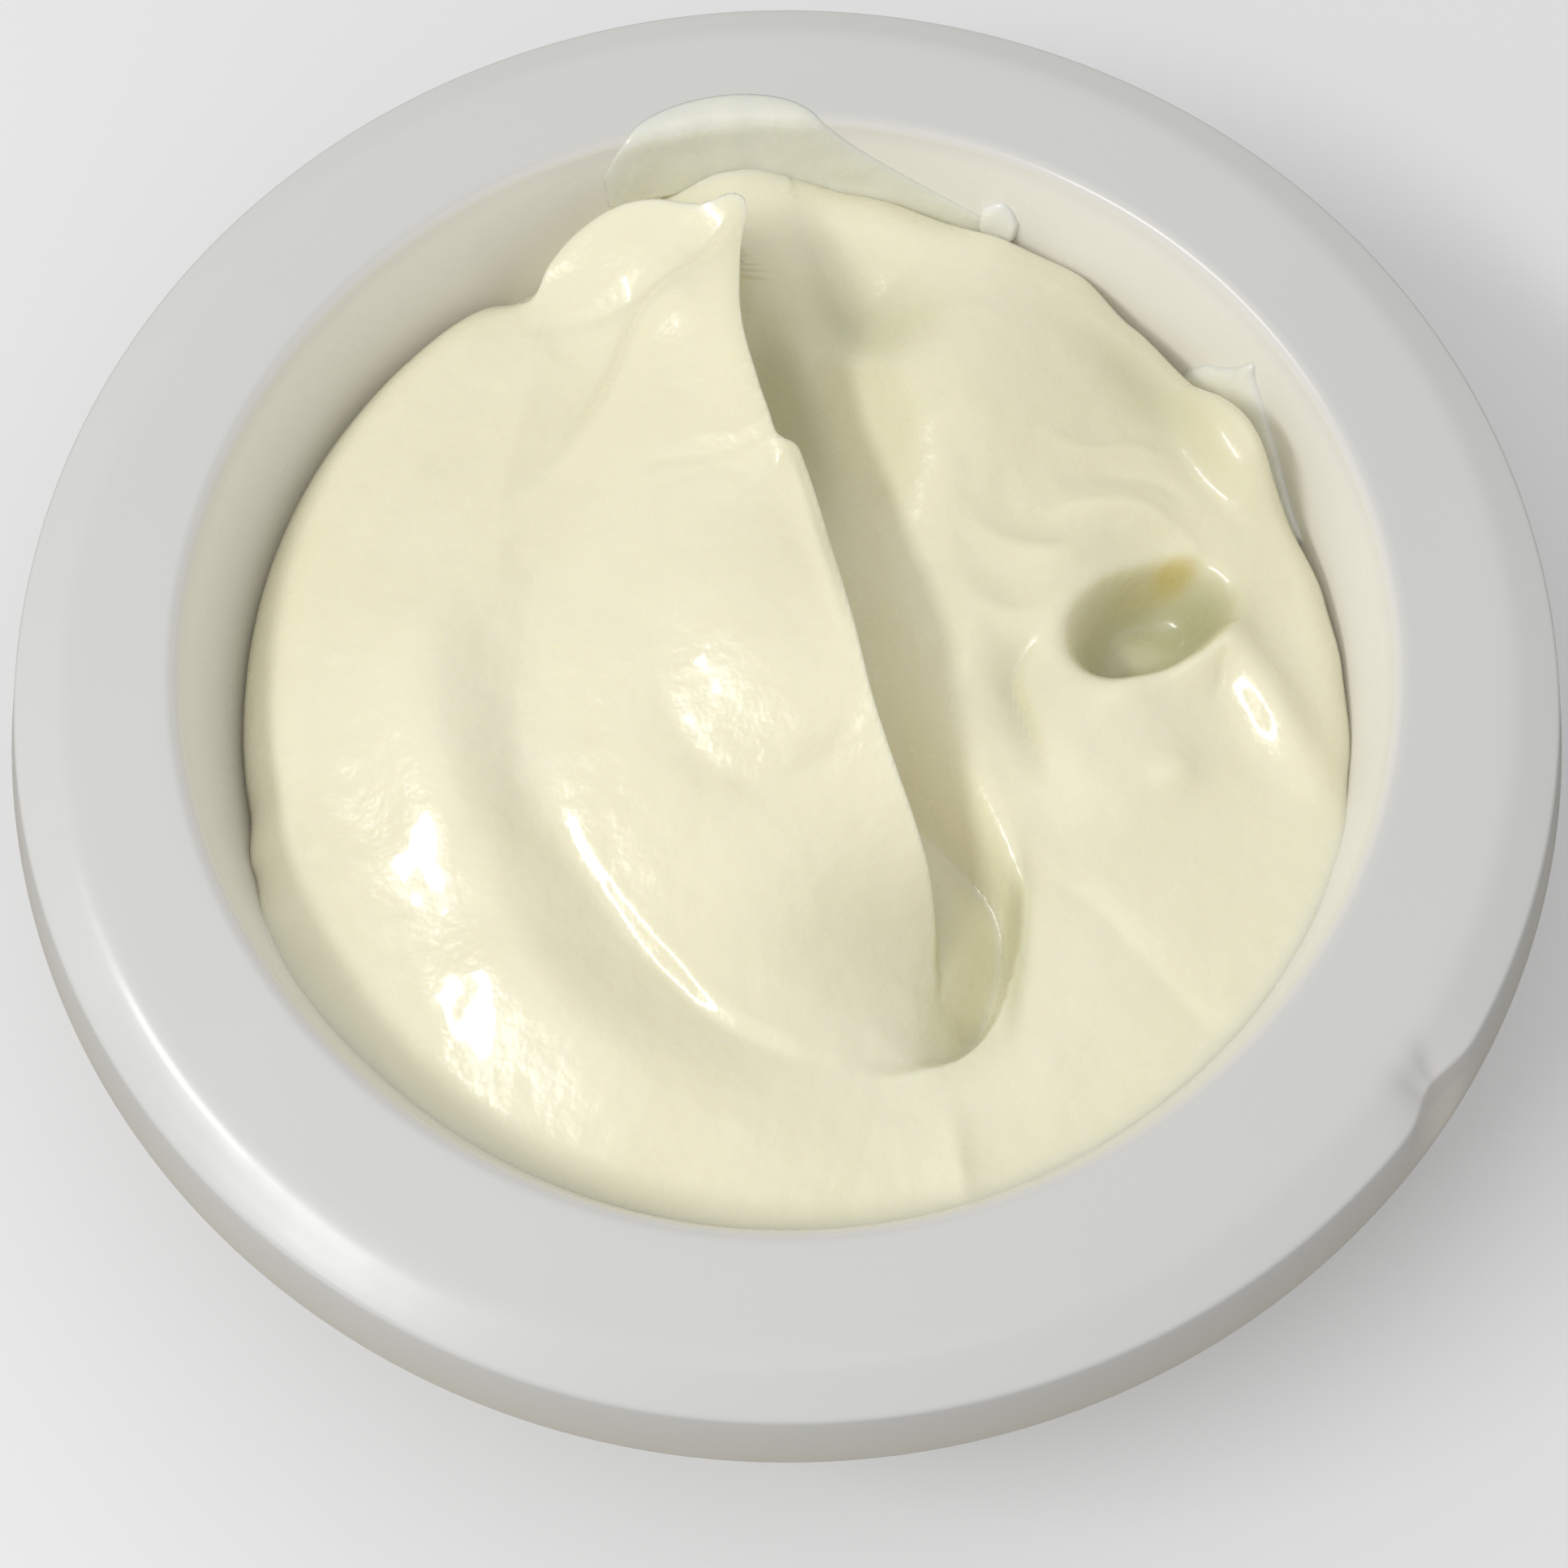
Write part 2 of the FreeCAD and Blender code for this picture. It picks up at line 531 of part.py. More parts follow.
def block_under(top, bottom):
    """A solid from a patch with upright plane sides down to a level floor."""
    faces = [top]
    corners = []
    for edge in top.Edges:
        start = edge.valueAt(edge.FirstParameter)
        end = edge.valueAt(edge.LastParameter)
        foot_start = V(start.x, start.y, bottom)
        foot_end = V(end.x, end.y, bottom)
        corners.append(foot_start)
        corners.append(foot_end)
        sides = [edge, Part.makeLine(end, foot_end), Part.makeLine(foot_end, foot_start),
                 Part.makeLine(foot_start, start)]
        faces.append(Part.Face(Part.Wire(Part.__sortEdges__(sides))))
    low = V(min(c.x for c in corners), min(c.y for c in corners), bottom)
    high = V(max(c.x for c in corners), max(c.y for c in corners), bottom)
    faces.append(Part.makePlane(high.x - low.x, high.y - low.y, low))
    shell = Part.makeShell(faces)
    shell.sewShape()
    solid = Part.makeSolid(shell)
    if solid.Volume < 0:
        solid.reverse()
    return solid


def make_cream():
    """What the well holds, up to the folded surface."""
    well = [WELL_PROFILE[0], WELL_PROFILE[1], WELL_PROFILE[2],
            ("opening_radius", RIM + " + opening_radius"), ("axis", RIM + " + opening_radius")]
    space, _ = turned_body("well_space", well)
    round_off(space, "space_fillet", [WELL_PROFILE[1]], "floor_round")
    block = doc.addObject("Part::Feature", "cream_block")
    block.Shape = block_under(cream_surface(), -PEAK_ROOM)
    block.Placement = FreeCAD.Placement()
    cream = doc.addObject("Part::Common", "sour_cream")
    cream.Base = space
    cream.Tool = block
    cream.Label = "sour_cream"
    return cream


def report_faults():
    """Stops the build if any object failed."""
    for item in doc.Objects:
        if "Invalid" in item.State or "Error" in item.State:
            raise RuntimeError(item.Name + " failed")


def keep(part):
    """Checks one sub-part and writes it."""
    shape = part.Shape
    if shape.isNull() or not shape.isValid():
        raise RuntimeError(part.Label + " is not a valid shape")
    if len(shape.Solids) != 1:
        raise RuntimeError(part.Label + " is not one solid")
    shape.exportStep("parts/%s.step" % part.Label)
    box = shape.BoundBox
    print("%s  volume %.1f cm3  z %.2f to %.2f" % (part.Label, shape.Volume / 1000, box.ZMin, box.ZMax))


parts = [make_bowl(), make_cream()]
doc.recompute()
report_faults()
os.makedirs("parts", exist_ok=True)
for part in parts:
    keep(part)
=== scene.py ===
"""A bowl of sour cream: the dressed model of the wide-rimmed bowl and its folded cream.

Shapes are worked out in millimetres, with heights from the bowl's foot, and go into
their meshes in metres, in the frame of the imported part.
"""
import math
import bpy
import numpy as np
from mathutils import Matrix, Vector


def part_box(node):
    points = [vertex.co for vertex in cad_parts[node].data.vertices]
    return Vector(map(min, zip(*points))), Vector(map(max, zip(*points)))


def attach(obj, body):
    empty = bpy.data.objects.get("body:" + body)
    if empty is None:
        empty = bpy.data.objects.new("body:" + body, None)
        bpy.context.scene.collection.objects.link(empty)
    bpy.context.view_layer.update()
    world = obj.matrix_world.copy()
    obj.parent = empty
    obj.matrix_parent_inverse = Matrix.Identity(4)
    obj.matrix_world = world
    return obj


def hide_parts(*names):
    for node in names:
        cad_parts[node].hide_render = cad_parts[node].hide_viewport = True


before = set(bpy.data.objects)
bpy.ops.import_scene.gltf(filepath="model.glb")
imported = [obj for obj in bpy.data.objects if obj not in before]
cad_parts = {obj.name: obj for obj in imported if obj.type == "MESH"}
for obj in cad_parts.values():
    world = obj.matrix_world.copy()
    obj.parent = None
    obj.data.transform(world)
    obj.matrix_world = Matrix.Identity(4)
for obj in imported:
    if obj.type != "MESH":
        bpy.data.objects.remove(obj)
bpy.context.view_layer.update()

MM = 0.001

# ------------------------------------------------------------------ sizes, mm

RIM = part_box("bowl")[1][2] / MM  # height of the level part of the rim
OPENING = 62.2                  # radius of the well at the rim
BATTER = 7.6                    # well narrower at the floor
DEPTH = 38.0
WALL = 2.4
LEVEL_WIDTH = 11.8
SHOULDER_WIDTH = 5.0
SHOULDER_FALL = 2.0
FLARE = 3.07
SKIRT_DROP = 10.9
FOOT_INSET = 19.0
FOOT_WIDTH = 3.0
FLOOR = RIM - DEPTH
FOOT_TOP = FLOOR - WALL
WALL_SLOPE = BATTER / DEPTH

DENT_ANGLE = 322.4              # degrees round from +X
DENT_DEPTH = 1.5
DENT_SIZE = (3.4, 3.2)          # half its length along the rim, and its reach inwards
DENT_SHARES = (0.75, 0.65)      # of the depth: pushed in, pushed down
CREASE_DEPTH = 0.22             # small creases fan out from the dent
CREASE_SIZE = (4.5, 3.6)        # half their spread along the rim, and their reach inwards
CREASE_MIDDLE = 2.5             # this far in from the rim's edge
CREASE_COUNT = 9.0              # in a whole turn of the fan
CREASE_START = 3.0              # the fan opens from this far outside the rim's corner
DENT_FLOOR = RIM - 0.75 * SKIRT_DROP  # the dent stops at this height

NOISE_TABLE = 64                # values each way, before the noise repeats
NOISE_SHIFT = (31.7, 17.3)      # of the noise's table from the axis, in lumps


# ------------------------------------------------------------------ small tools

def eased(value, start, end):
    """0 before start, 1 after end, smooth between."""
    share = np.clip((value - start) / (end - start), 0.0, 1.0)
    return share * share * (3.0 - 2.0 * share)


def between(before, after, share):
    """Part of the way from one value to another."""
    return before + (after - before) * share


def bell(value, width, steepness=2.0):
    """1 at nothing, falling away over the width."""
    return np.exp(-np.abs(value / width) ** steepness)


def smooth_rows(rows, steps=8):
    """Rows along a smooth line through the given ones."""
    rows = np.array(rows, float)
    padded = np.vstack([2 * rows[0] - rows[1], rows, 2 * rows[-1] - rows[-2]])
    result = []
    for a, b, c, d in zip(padded, padded[1:], padded[2:], padded[3:]):
        for step in range(steps):
            u = step / steps
            result.append(0.5 * (2 * b + (c - a) * u + (2 * a - 5 * b + 4 * c - d) * u * u
                                 + (3 * b - a - 3 * c + d) * u ** 3))
    result.append(rows[-1])
    return np.array(result)


def locate(line, x, y, blur=0.0):
    """Distance from a line (positive on its right) and the line's row there.

    With blur, the row's values past x and y are averaged over what is about as near.
    """
    start = line[:-1]
    span = line[1:] - start
    length = (span[:, :2] ** 2).sum(1)
    nearest = np.full(x.shape, 1e9)
    index = np.zeros(x.shape, int)
    share = np.zeros(x.shape)
    for number in range(len(span)):
        part = ((x - start[number, 0]) * span[number, 0] + (y - start[number, 1]) * span[number, 1])
        part = np.clip(part / length[number], 0.0, 1.0)
        gap = np.hypot(x - start[number, 0] - part * span[number, 0],
                       y - start[number, 1] - part * span[number, 1])
        closer = gap < nearest
        nearest = np.where(closer, gap, nearest)
        index = np.where(closer, number, index)
        share = np.where(closer, part, share)
    row = start[index] + span[index] * share[..., None]
    turn = span[index, 0] * (y - row[..., 1]) - span[index, 1] * (x - row[..., 0])
    if blur:
        total = np.zeros(x.shape)
        mixed = np.zeros(row.shape)
        for number in range(len(span)):
            middle = start[number] + span[number] / 2
            weight = np.exp((nearest - np.hypot(x - middle[0], y - middle[1])) / blur)
            total += weight
            mixed += weight[..., None] * middle
        mixed /= total[..., None]
        row[..., 2:] = mixed[..., 2:]
    return np.where(turn < 0, nearest, -nearest), row


def lattice_noise(x, y, size, seed):
    """Smooth noise from -1 to 1, with lumps about this size."""
    random = np.random.default_rng(seed)
    table = random.uniform(-1, 1, (NOISE_TABLE, NOISE_TABLE))
    u, v = x / size + NOISE_SHIFT[0], y / size + NOISE_SHIFT[1]
    i, j = np.floor(u).astype(int), np.floor(v).astype(int)
    fu, fv = u - i, v - j
    fu, fv = fu * fu * (3 - 2 * fu), fv * fv * (3 - 2 * fv)
    corner = [[table[(i + a) % NOISE_TABLE, (j + b) % NOISE_TABLE] for b in (0, 1)]
              for a in (0, 1)]
    low = between(corner[0][0], corner[0][1], fv)
    high = between(corner[1][0], corner[1][1], fv)
    return between(low, high, fu)


def mesh_piece(name, points, faces, material):
    """A smooth-shaded mesh object at the origin, from points in millimetres."""
    mesh = bpy.data.meshes.new(name)
    mesh.from_pydata((np.asarray(points) * MM).tolist(), [], faces)
    mesh.validate()
    mesh.polygons.foreach_set("use_smooth", [True] * len(mesh.polygons))
    mesh.materials.append(material)
    piece = bpy.data.objects.new(name, mesh)
    bpy.context.scene.collection.objects.link(piece)
    return piece


def add_mask(piece, name, values):
    """A value from 0 to 1 at each point of a piece, for its material."""
    mask = piece.data.attributes.new(name, "FLOAT", "POINT")
    mask.data.foreach_set("value", np.clip(values, 0.0, 1.0))


# ------------------------------------------------------------------ the cream's folds
#
# The folds are drawn on a map seen from above, in millimetres from the bowl's axis, with
# heights from the cream's general level.  One long edge parts two sheets: the helping
# that the spoon turned over, on the left, stands proud of the trough, on the right.  The
# trough's far side is the edge of the sheet that the spoon cut into.

CREAM_DROP = 8.6                # the general level, below the rim

# x, y, lip height, foot height, rise's width and steepness, overhang
FOLD_EDGE = smooth_rows([
    (19.0, -68.0, 0.0, 0.0, 8.0, 1.0, 0.0),
    (18.6, -58.0, 0.0, 0.0, 8.0, 1.0, 0.0),
    (16.8, -50.5, -0.5, -0.5, 8.0, 1.5, 0.0),
    (16.0, -46.5, -1.8, -1.8, 6.0, 2.0, 0.0),
    (15.8, -42.4, -2.4, -2.4, 7.5, 1.8, 0.0),
    (15.6, -38.0, -2.6, -2.6, 8.5, 1.6, 0.0),
    (15.4, -33.4, -2.2, -2.7, 9.0, 1.5, 0.0),
    (15.2, -29.0, -0.8, -3.6, 10.0, 1.4, -0.4),
    (14.4, -24.8, 2.8, -5.4, 11.0, 1.2, -0.4),
    (12.8, -20.4, 6.4, -6.0, 11.5, 1.0, 0.6),
    (8.9, -10.2, 9.4, -5.0, 13.0, 1.0, 1.6),
    (6.8, -1.6, 9.8, -3.6, 13.0, 1.0, 1.4),
    (4.6, 7.2, 10.0, -2.8, 12.0, 1.0, 1.0),
    (3.0, 13.4, 10.3, -2.8, 12.0, 1.0, 1.0),
    (1.7, 17.6, 10.5, -2.9, 12.0, 1.0, 1.2),
    (0.9, 19.4, 10.6, -3.0, 12.0, 1.0, 1.3),
    (-1.0, 20.6, 10.7, -3.0, 12.0, 1.0, 1.5),
    (-2.0, 23.4, 11.0, -3.2, 12.4, 1.0, 2.0),
    (-3.2, 27.2, 11.4, -3.4, 13.0, 1.0, 2.5),
    (-4.9, 34.0, 12.0, -3.6, 14.0, 1.0, 3.0),
    (-5.1, 41.9, 12.0, -2.6, 12.0, 1.0, 2.5),
    (-4.5, 48.3, 11.8, 0.6, 9.0, 1.0, 1.5),
    (-6.0, 50.6, 10.8, 1.6, 7.0, 1.0, 1.0),
    (-10.0, 50.8, 8.2, 1.1, 9.0, 1.2, 0.5),
    (-14.6, 52.4, 6.8, -0.4, 9.0, 1.4, 0.0),
    (-19.3, 52.6, 5.4, -2.4, 8.0, 1.6, 0.0),
    (-23.8, 50.8, 3.6, -5.4, 7.0, 1.6, 0.0),
    (-26.9, 47.4, 1.4, -7.4, 6.0, 1.4, 0.0),
    (-29.2, 44.0, -0.4, -8.4, 4.0, 1.0, 0.0),
    (-33.0, 48.0, -6.9, -8.4, 3.0, 1.0, 0.0),
    (-40.0, 58.0, -8.4, -8.4, 3.0, 1.0, 0.0),
])

# The edge of the sheet that was cut into: x, y, width of its face.
SHEET_EDGE = smooth_rows([
    (-28.5, -8.0, 7.0), (-26.0, -20.0, 5.0), (-18.7, -29.3, 3.4), (-13.7, -34.2, 2.6),
    (-5.1, -41.6, 2.2), (7.4, -45.5, 2.0), (14.6, -44.6, 1.6), (18.2, -43.0, 1.3),
    (21.0, -39.5, 1.2), (22.8, -34.5, 1.2), (24.0, -29.0, 1.4), (23.9, -25.0, 3.0),
    (22.8, -19.6, 6.5), (21.4, -13.6, 10.0), (20.6, -7.0, 12.5), (20.2, 2.0, 14.5),
    (19.2, 12.0, 16.0), (17.6, 22.0, 16.0), (13.6, 32.0, 12.0), (8.4, 40.0, 7.5),
    (4.6, 46.0, 5.0), (2.0, 54.0, 4.0),
])

# Creases and ridges: rows of x, y, height; then widths on the left and right, steepness.
OUTER_RIDGE = ([(-33, 24, 0.2), (-36, 10, 1.6), (-38, -3, 3.6), (-33.5, -17, 4.4),
                (-29, -27, 3.6), (-25, -36, 4.0), (-17, -43.5, 3.9), (-4, -49, 2.2), (8, -52, 0.5)],
               7.5, 9.0, 2.0)
HELPING_LINES = [
    OUTER_RIDGE,
    ([(2, 14, 0.0), (-11, 18.6, -0.3), (-22, 10.4, -0.6), (-28.2, -5, -1.2),
      (-25.6, -21.3, -2.5), (-19.0, -30.5, -1.7), (-12.8, -36.0, -0.5), (-4.6, -41.6, -0.3),
      (4, -44.0, -0.2)],
     6.0, 7.0, 1.5),
    ([(-14, -2, -0.1), (-12.4, -9, -0.7), (-8.0, -14.4, -0.9), (-2, -16.8, -0.9),
      (4, -14.5, -0.6), (7, -9.5, -0.1)], 2.6, 3.4, 1.4),
    ([(-26.5, 42.5, 0.4), (-21.0, 46.0, 0.9), (-15, 47.2, 0.7), (-9.5, 48.2, 0.1)], 5.0, 5.0, 2.0),
    ([(-27, 40, -0.4), (-20, 40.3, -0.8), (-10.5, 44.2, -0.9), (-8.2, 47.6, -0.4)], 2.6, 2.6, 1.2),
    ([(-28.3, 36, 0.6), (-29.8, 25, 0.7), (-30.9, 15, 0.6), (-30.5, 4.3, 0.2)], 3.0, 4.5, 1.4),
    ([(-16.5, 18.5, 0.0), (-12.5, 19.6, -0.16), (-7.5, 19.2, -0.18), (-3.5, 20.3, -0.1)],
     0.7, 0.7, 1.6),
    ([(-15.5, 16.4, 0.0), (-12.0, 17.0, -0.14), (-8.5, 17.8, -0.16), (-4.5, 17.0, -0.1)],
     0.6, 0.6, 1.6),
    ([(-12.0, 21.4, 0.0), (-9.0, 21.8, 0.16), (-5.0, 21.6, 0.18), (-2.0, 22.8, 0.1)],
     0.7, 0.7, 1.6),
    ([(-31.5, 30.0, 0.0), (-38.0, 25.5, 0.5), (-43.5, 17.5, 0.6), (-47.5, 6.0, 0.2)],
     2.5, 4.0, 1.6),
    ([(-0.6, 19.8, 0.1), (0.4, 17.2, 0.8), (1.5, 13.6, 0.9), (3.2, 7.4, 0.8), (4.8, 1.2, 0.4),
      (5.8, -3.4, 0.0)], 0.8, 0.9, 1.8),
]
SHEET_LINES = [
    OUTER_RIDGE,
    ([(26.2, 2.2, -0.2), (24.2, -1.6, -1.5), (24.0, -4.2, -1.7), (25.4, -9.4, -1.2),
      (26.9, -15.2, -0.1)], 0.8, 3.2, 1.2),
    ([(43.2, -0.6, 1.6), (46.2, 0.6, 2.4), (49.3, -2.9, 2.6), (51.8, -8.0, 2.6),
      (54.6, -13.4, 1.0)], 3.0, 3.0, 2.0),
    ([(26, -24, -0.3), (32.5, -29.5, -0.8), (43.4, -43, -0.3)], 2.5, 5.0, 1.2),
    ([(15.8, -48, 0.2), (16.8, -54, 0.8), (17.6, -59, 0.4)], 1.6, 2.6, 1.4),
    ([(46.0, 33.6, 0.0), (48.6, 30.0, 1.8), (50.6, 25.6, 2.2), (52.6, 20.0, 0.6)], 2.6, 2.2, 1.8),
    ([(27.0, 25.5, 0.0), (32.0, 23.4, 0.5), (38.0, 24.0, 0.5), (42.0, 22.6, 0.1)], 1.0, 1.5, 1.6),
    ([(29.0, 19.4, 0.0), (34.0, 20.4, -0.5), (40.0, 19.6, -0.5), (43.5, 17.0, -0.1)],
     1.0, 1.4, 1.6),
    ([(27.0, 16.0, 0.0), (32.0, 17.2, 0.6), (38.0, 16.8, 0.7), (43.5, 13.2, 0.4)], 1.1, 1.6, 1.6),
    ([(18.0, 17.5, 0.0), (23.0, 13.2, 0.7), (28.5, 11.6, 0.9), (33.0, 13.0, 0.3)], 1.4, 2.4, 1.6),
    ([(16.4, 11.0, 0.0), (20.5, 6.4, 0.5), (24.5, 4.6, 0.6), (28.5, 5.6, 0.2)], 1.4, 2.4, 1.6),
    ([(-2.0, 57.5, 1.0), (8.0, 55.2, 1.2), (15.0, 52.4, 1.2), (21.5, 49.8, 0.8)], 4.4, 4.4, 2.0),
    ([(31.5, -3.6, 0.2), (34.6, -4.4, 0.9), (38.4, -2.6, 1.0), (43.0, -1.4, 0.8),
      (46.5, 2.4, 0.6)], 1.6, 2.6, 2.0),
]

# The trough is deepest along the foot of the cut sheet's edge.
TROUGH_LINES = [
    ([(16.5, -11.0, 0.0), (19.6, -18.0, -1.2), (21.8, -24.0, -2.6), (22.6, -30.0, -4.4),
      (22.0, -35.5, -5.4), (20.4, -39.5, -4.8), (18.2, -42.8, -2.4), (16.0, -46.0, 0.0)],
     1.6, 6.0, 1.6),
]

# Mounds (hollows, below nothing): height, x, y, half length, half width, turn, steepness.
HELPING_BODY = [(7.2, -3, 3, 26, 35, 0, 2)]
HELPING_MOUNDS = [
    (1.9, 1.8, -2.0, 14.0, 9.0, -42, 3.5), (0.6, -11.6, 37.4, 2.4, 3.4, 0, 2),
    (0.8, -2.0, -30.0, 10.0, 9.0, 0, 2), (2.2, -16.0, 41.5, 8.0, 7.5, 0, 2.5),
]
SHEET_MOUNDS = [
    (4.4, 28.0, 32.5, 17.0, 13.6, -14, 2.8),
    (0.4, 15.0, 10.0, 11.0, 13.0, 0, 3),
    (1.2, 14.0, 20.0, 6.0, 6.0, 0, 2),
    (-3.6, 7.5, 42.0, 8.5, 6.5, -20, 2),
    (0.6, 20.0, 1.0, 3.0, 4.0, 0, 2),
    (2.4, 38.0, 9.0, 13.0, 12.0, 20, 4),
    (-2.6, 41.0, 11.0, 8.5, 5.0, -5, 2),
    (-9.4, 38.6, 4.0, 8.0, 5.3, 24, 5),
    (-1.6, 34.4, 0.4, 3.2, 3.0, 20, 2),
    (1.9, 32.6, -10.2, 9.0, 7.8, 0, 3),
    (1.0, 40.4, -13.4, 2.6, 2.2, 20, 2),
    (5.2, 48.2, 24.0, 3.6, 7.5, 28, 3),
    (1.6, 50.0, 30.0, 1.3, 2.8, 20, 2),
    (2.2, 24.0, 53.4, 5.0, 2.6, -25, 2),
    (0.7, 36.0, -30.0, 10.0, 9.0, 0, 2),
    (0.5, 2.0, -54.0, 16.0, 7.0, 0, 2),
]

# Round the wall, in degrees from +X: level against the wall, width of the rolled edge.
WALL_LINE = np.array([
    (-180, -8.2, 9.0), (-165, -7.6, 8.0), (-157, -3.6, 6.0), (-150, 0.0, 5.0),
    (-143, 1.8, 4.0), (-128, 0.2, 5.2), (-110, 0.4, 4.8), (-90, 0.8, 3.5),
    (-60, 0.8, 3.5), (-42, 1.8, 3.5), (-31, 1.4, 3.5), (-21, 0.2, 4.0), (-11, -2.4, 4.0),
    (0, -4.4, 4.0), (8, -6.0, 4.0), (18, -9.0, 4.0), (38, -10.4, 5.0), (47, -8.0, 6.0),
    (56, -4.0, 6.0), (67, -6.0, 6.0), (82, -2.4, 6.0), (96, 3.2, 8.0), (109, -3.4, 5.0),
    (120, -8.8, 5.0), (140, -8.8, 6.5), (158, -8.4, 7.5), (180, -8.2, 9.0),
])

# Painted shade on the cream, a yellow-green darkening where shade falls (the pit, the trough and
# the foot of its edge, the hollows, behind the crest, the right side): share, x, y, half length,
# half width, turn, steepness.
PAINTED_SHADE_SPOTS = [
    (0.62, 39.2, 4.2, 8.6, 6.0, 24, 5), (0.4, 45.5, 5.5, 4.0, 3.5, 0, 3),
    (1.00, -0.2, 31.5, 13.0, 4.0, -74, 3), (0.10, 6.0, 12.0, 15.0, 5.0, -72, 3),
    (0.30, 18.6, -32.0, 12.0, 5.0, 84, 4),
    (0.55, 23.4, -31.0, 9.0, 1.2, 84, 3), (0.25, 17.0, -41.5, 5.0, 3.5, 40, 2),
    (0.45, 39.5, 31.0, 10.0, 3.6, -52, 2), (0.55, 7.5, 43.0, 8.0, 6.0, -20, 2),
    (0.30, 24.2, -5.5, 8.0, 2.0, -80, 2), (0.22, 8.0, -31.0, 9.0, 8.0, 0, 2),
    (0.16, 26.0, 22.0, 20.0, 26.0, 0, 3),
]
# Where it is stained a deeper yellow, in the same terms.
YOLK_SPOT = [(0.70, 41.9, 10.4, 2.4, 1.4, 10, 3), (0.2, 37.6, 9.0, 3.6, 1.3, 24, 3)]

HELPING_BASE = -0.4             # the turned-over sheet's level, away from its body
LOBE = (27.0, 32.5, 15.0)       # middle and reach of the lobe at the back right
LOBE_TILT = -0.24               # it falls away to the right
FRONT = (12.0, 26.0)            # this far to the front, the cut sheet shows past the helping
FACE_PER_DROP = 0.55            # surface given to the fold's face, for each mm it drops
FULL_OVERHANG_DROP = 4.0        # a fold that drops this far hangs over in full
RELAX = 9.0                     # the surface is even again this far past that face
EDGE_BLUR = 1.2
SOFT_FACE = 5.0                 # a face of the cut sheet this wide is rounded at its foot too
WALL_ROOM = 5.0                 # the fold flattens out this near the wall
RIPPLES = [(0.11, 6.0, 3), (0.06, 2.3, 4)]  # fine unevenness: height, size, seed


def creases(table, x, y):
    """Sum of the creases and ridges of a table."""
    total = 0.0
    for rows, left_width, right_width, steepness in table:
        gap, row = locate(smooth_rows(rows), x, y)
        width = np.where(gap > 0, right_width, left_width)
        total = total + row[..., 2] * bell(gap, width, steepness)
    return total


def mounds(table, x, y):
    """Sum of the rounded mounds of a table."""
    total = 0.0
    for height, centre_x, centre_y, length, width, turn, steepness in table:
        c, s = math.cos(math.radians(turn)), math.sin(math.radians(turn))
        along = ((x - centre_x) * c + (y - centre_y) * s) / length
        across = ((y - centre_y) * c - (x - centre_x) * s) / width
        total = total + height * np.exp(-np.hypot(along, across) ** steepness)
    return total


def wall_line(angle):
    """Cream's level against the wall, and width of its rolled edge, at these angles."""
    index = np.clip(np.searchsorted(WALL_LINE[:, 0], angle) - 1, 0, len(WALL_LINE) - 2)
    before, after = WALL_LINE[index], WALL_LINE[index + 1]
    share = eased(angle, before[..., 0], after[..., 0])[..., None]
    mixed = between(before, after, share)
    return mixed[..., 1], mixed[..., 2]


def well_radius(level):
    """Radius of the well's wall at a level of the fold map."""
    return OPENING + np.minimum(level - CREAM_DROP, 0.0) * WALL_SLOPE


def sheet_height(x, y):
    """The sheet that the spoon cut into: the front and the right of the bowl."""
    lobe = np.exp(-np.hypot((x - LOBE[0]) / LOBE[2], (y - LOBE[1]) / LOBE[2]) ** 4)
    level = mounds(SHEET_MOUNDS, x, y) + creases(SHEET_LINES, x, y)
    return level + LOBE_TILT * (x - LOBE[0]) * lobe


def on_sheet(x, y):
    """0 within the spoon's cut, 1 on the sheet beyond its edge."""
    gap, row = locate(SHEET_EDGE, x, y, EDGE_BLUR)
    share = np.clip(1.0 + gap / row[..., 2], 0.0, 1.0)
    soft = eased(row[..., 2], 0.0, SOFT_FACE)
    return between(share ** 2, eased(share, 0.0, 1.0), soft)


def helping_height(x, y, gap, row):
    """The sheet that the spoon turned over; gap is how far inside its edge."""
    level = HELPING_BASE + mounds(HELPING_BODY, x, y)
    level = level + (row[..., 2] - level) * np.exp(-(gap / row[..., 4]) ** row[..., 5])
    level = level + mounds(HELPING_MOUNDS, x, y) + creases(HELPING_LINES, x, y)
    level = level + creases(TROUGH_LINES, x, y)
    share = on_sheet(x, y) * eased(-y, *FRONT)
    return between(level, sheet_height(x, y), share)


def trough_height(x, y, row):
    """The trough that the spoon left, up to the sheet that it cut into."""
    floor = row[..., 3] + creases(TROUGH_LINES, x, y)
    return between(floor, sheet_height(x, y), on_sheet(x, y))


def folded_surface(s, t, inside):
    """Where points of the flat map (s, t) lie on the folded surface; inside is their room."""
    gap, row = locate(FOLD_EDGE, s, t, EDGE_BLUR)
    drop = np.maximum(row[..., 2] - row[..., 3], 0.0)
    room = eased(inside, 0.0, WALL_ROOM)
    face = FACE_PER_DROP * drop * room + 1e-6
    overhang = row[..., 6] * eased(drop, 0.0, FULL_OVERHANG_DROP) * room
    on_face = (gap > 0) & (gap < face)
    share = eased(gap, 0.0, face)
    moved = np.where(on_face, -overhang * share,
                     gap - (face + overhang) * (1.0 - eased(gap - face, 0.0, RELAX)))
    moved = np.where(gap <= 0, gap, moved)
    scale = moved / np.where(np.abs(gap) < 1e-9, 1e-9, gap)
    x = row[..., 0] + (s - row[..., 0]) * scale
    y = row[..., 1] + (t - row[..., 1]) * scale
    left = helping_height(x, y, np.maximum(-gap, 0.0), row)
    right = trough_height(x, y, row)
    return x, y, between(left, right, share)


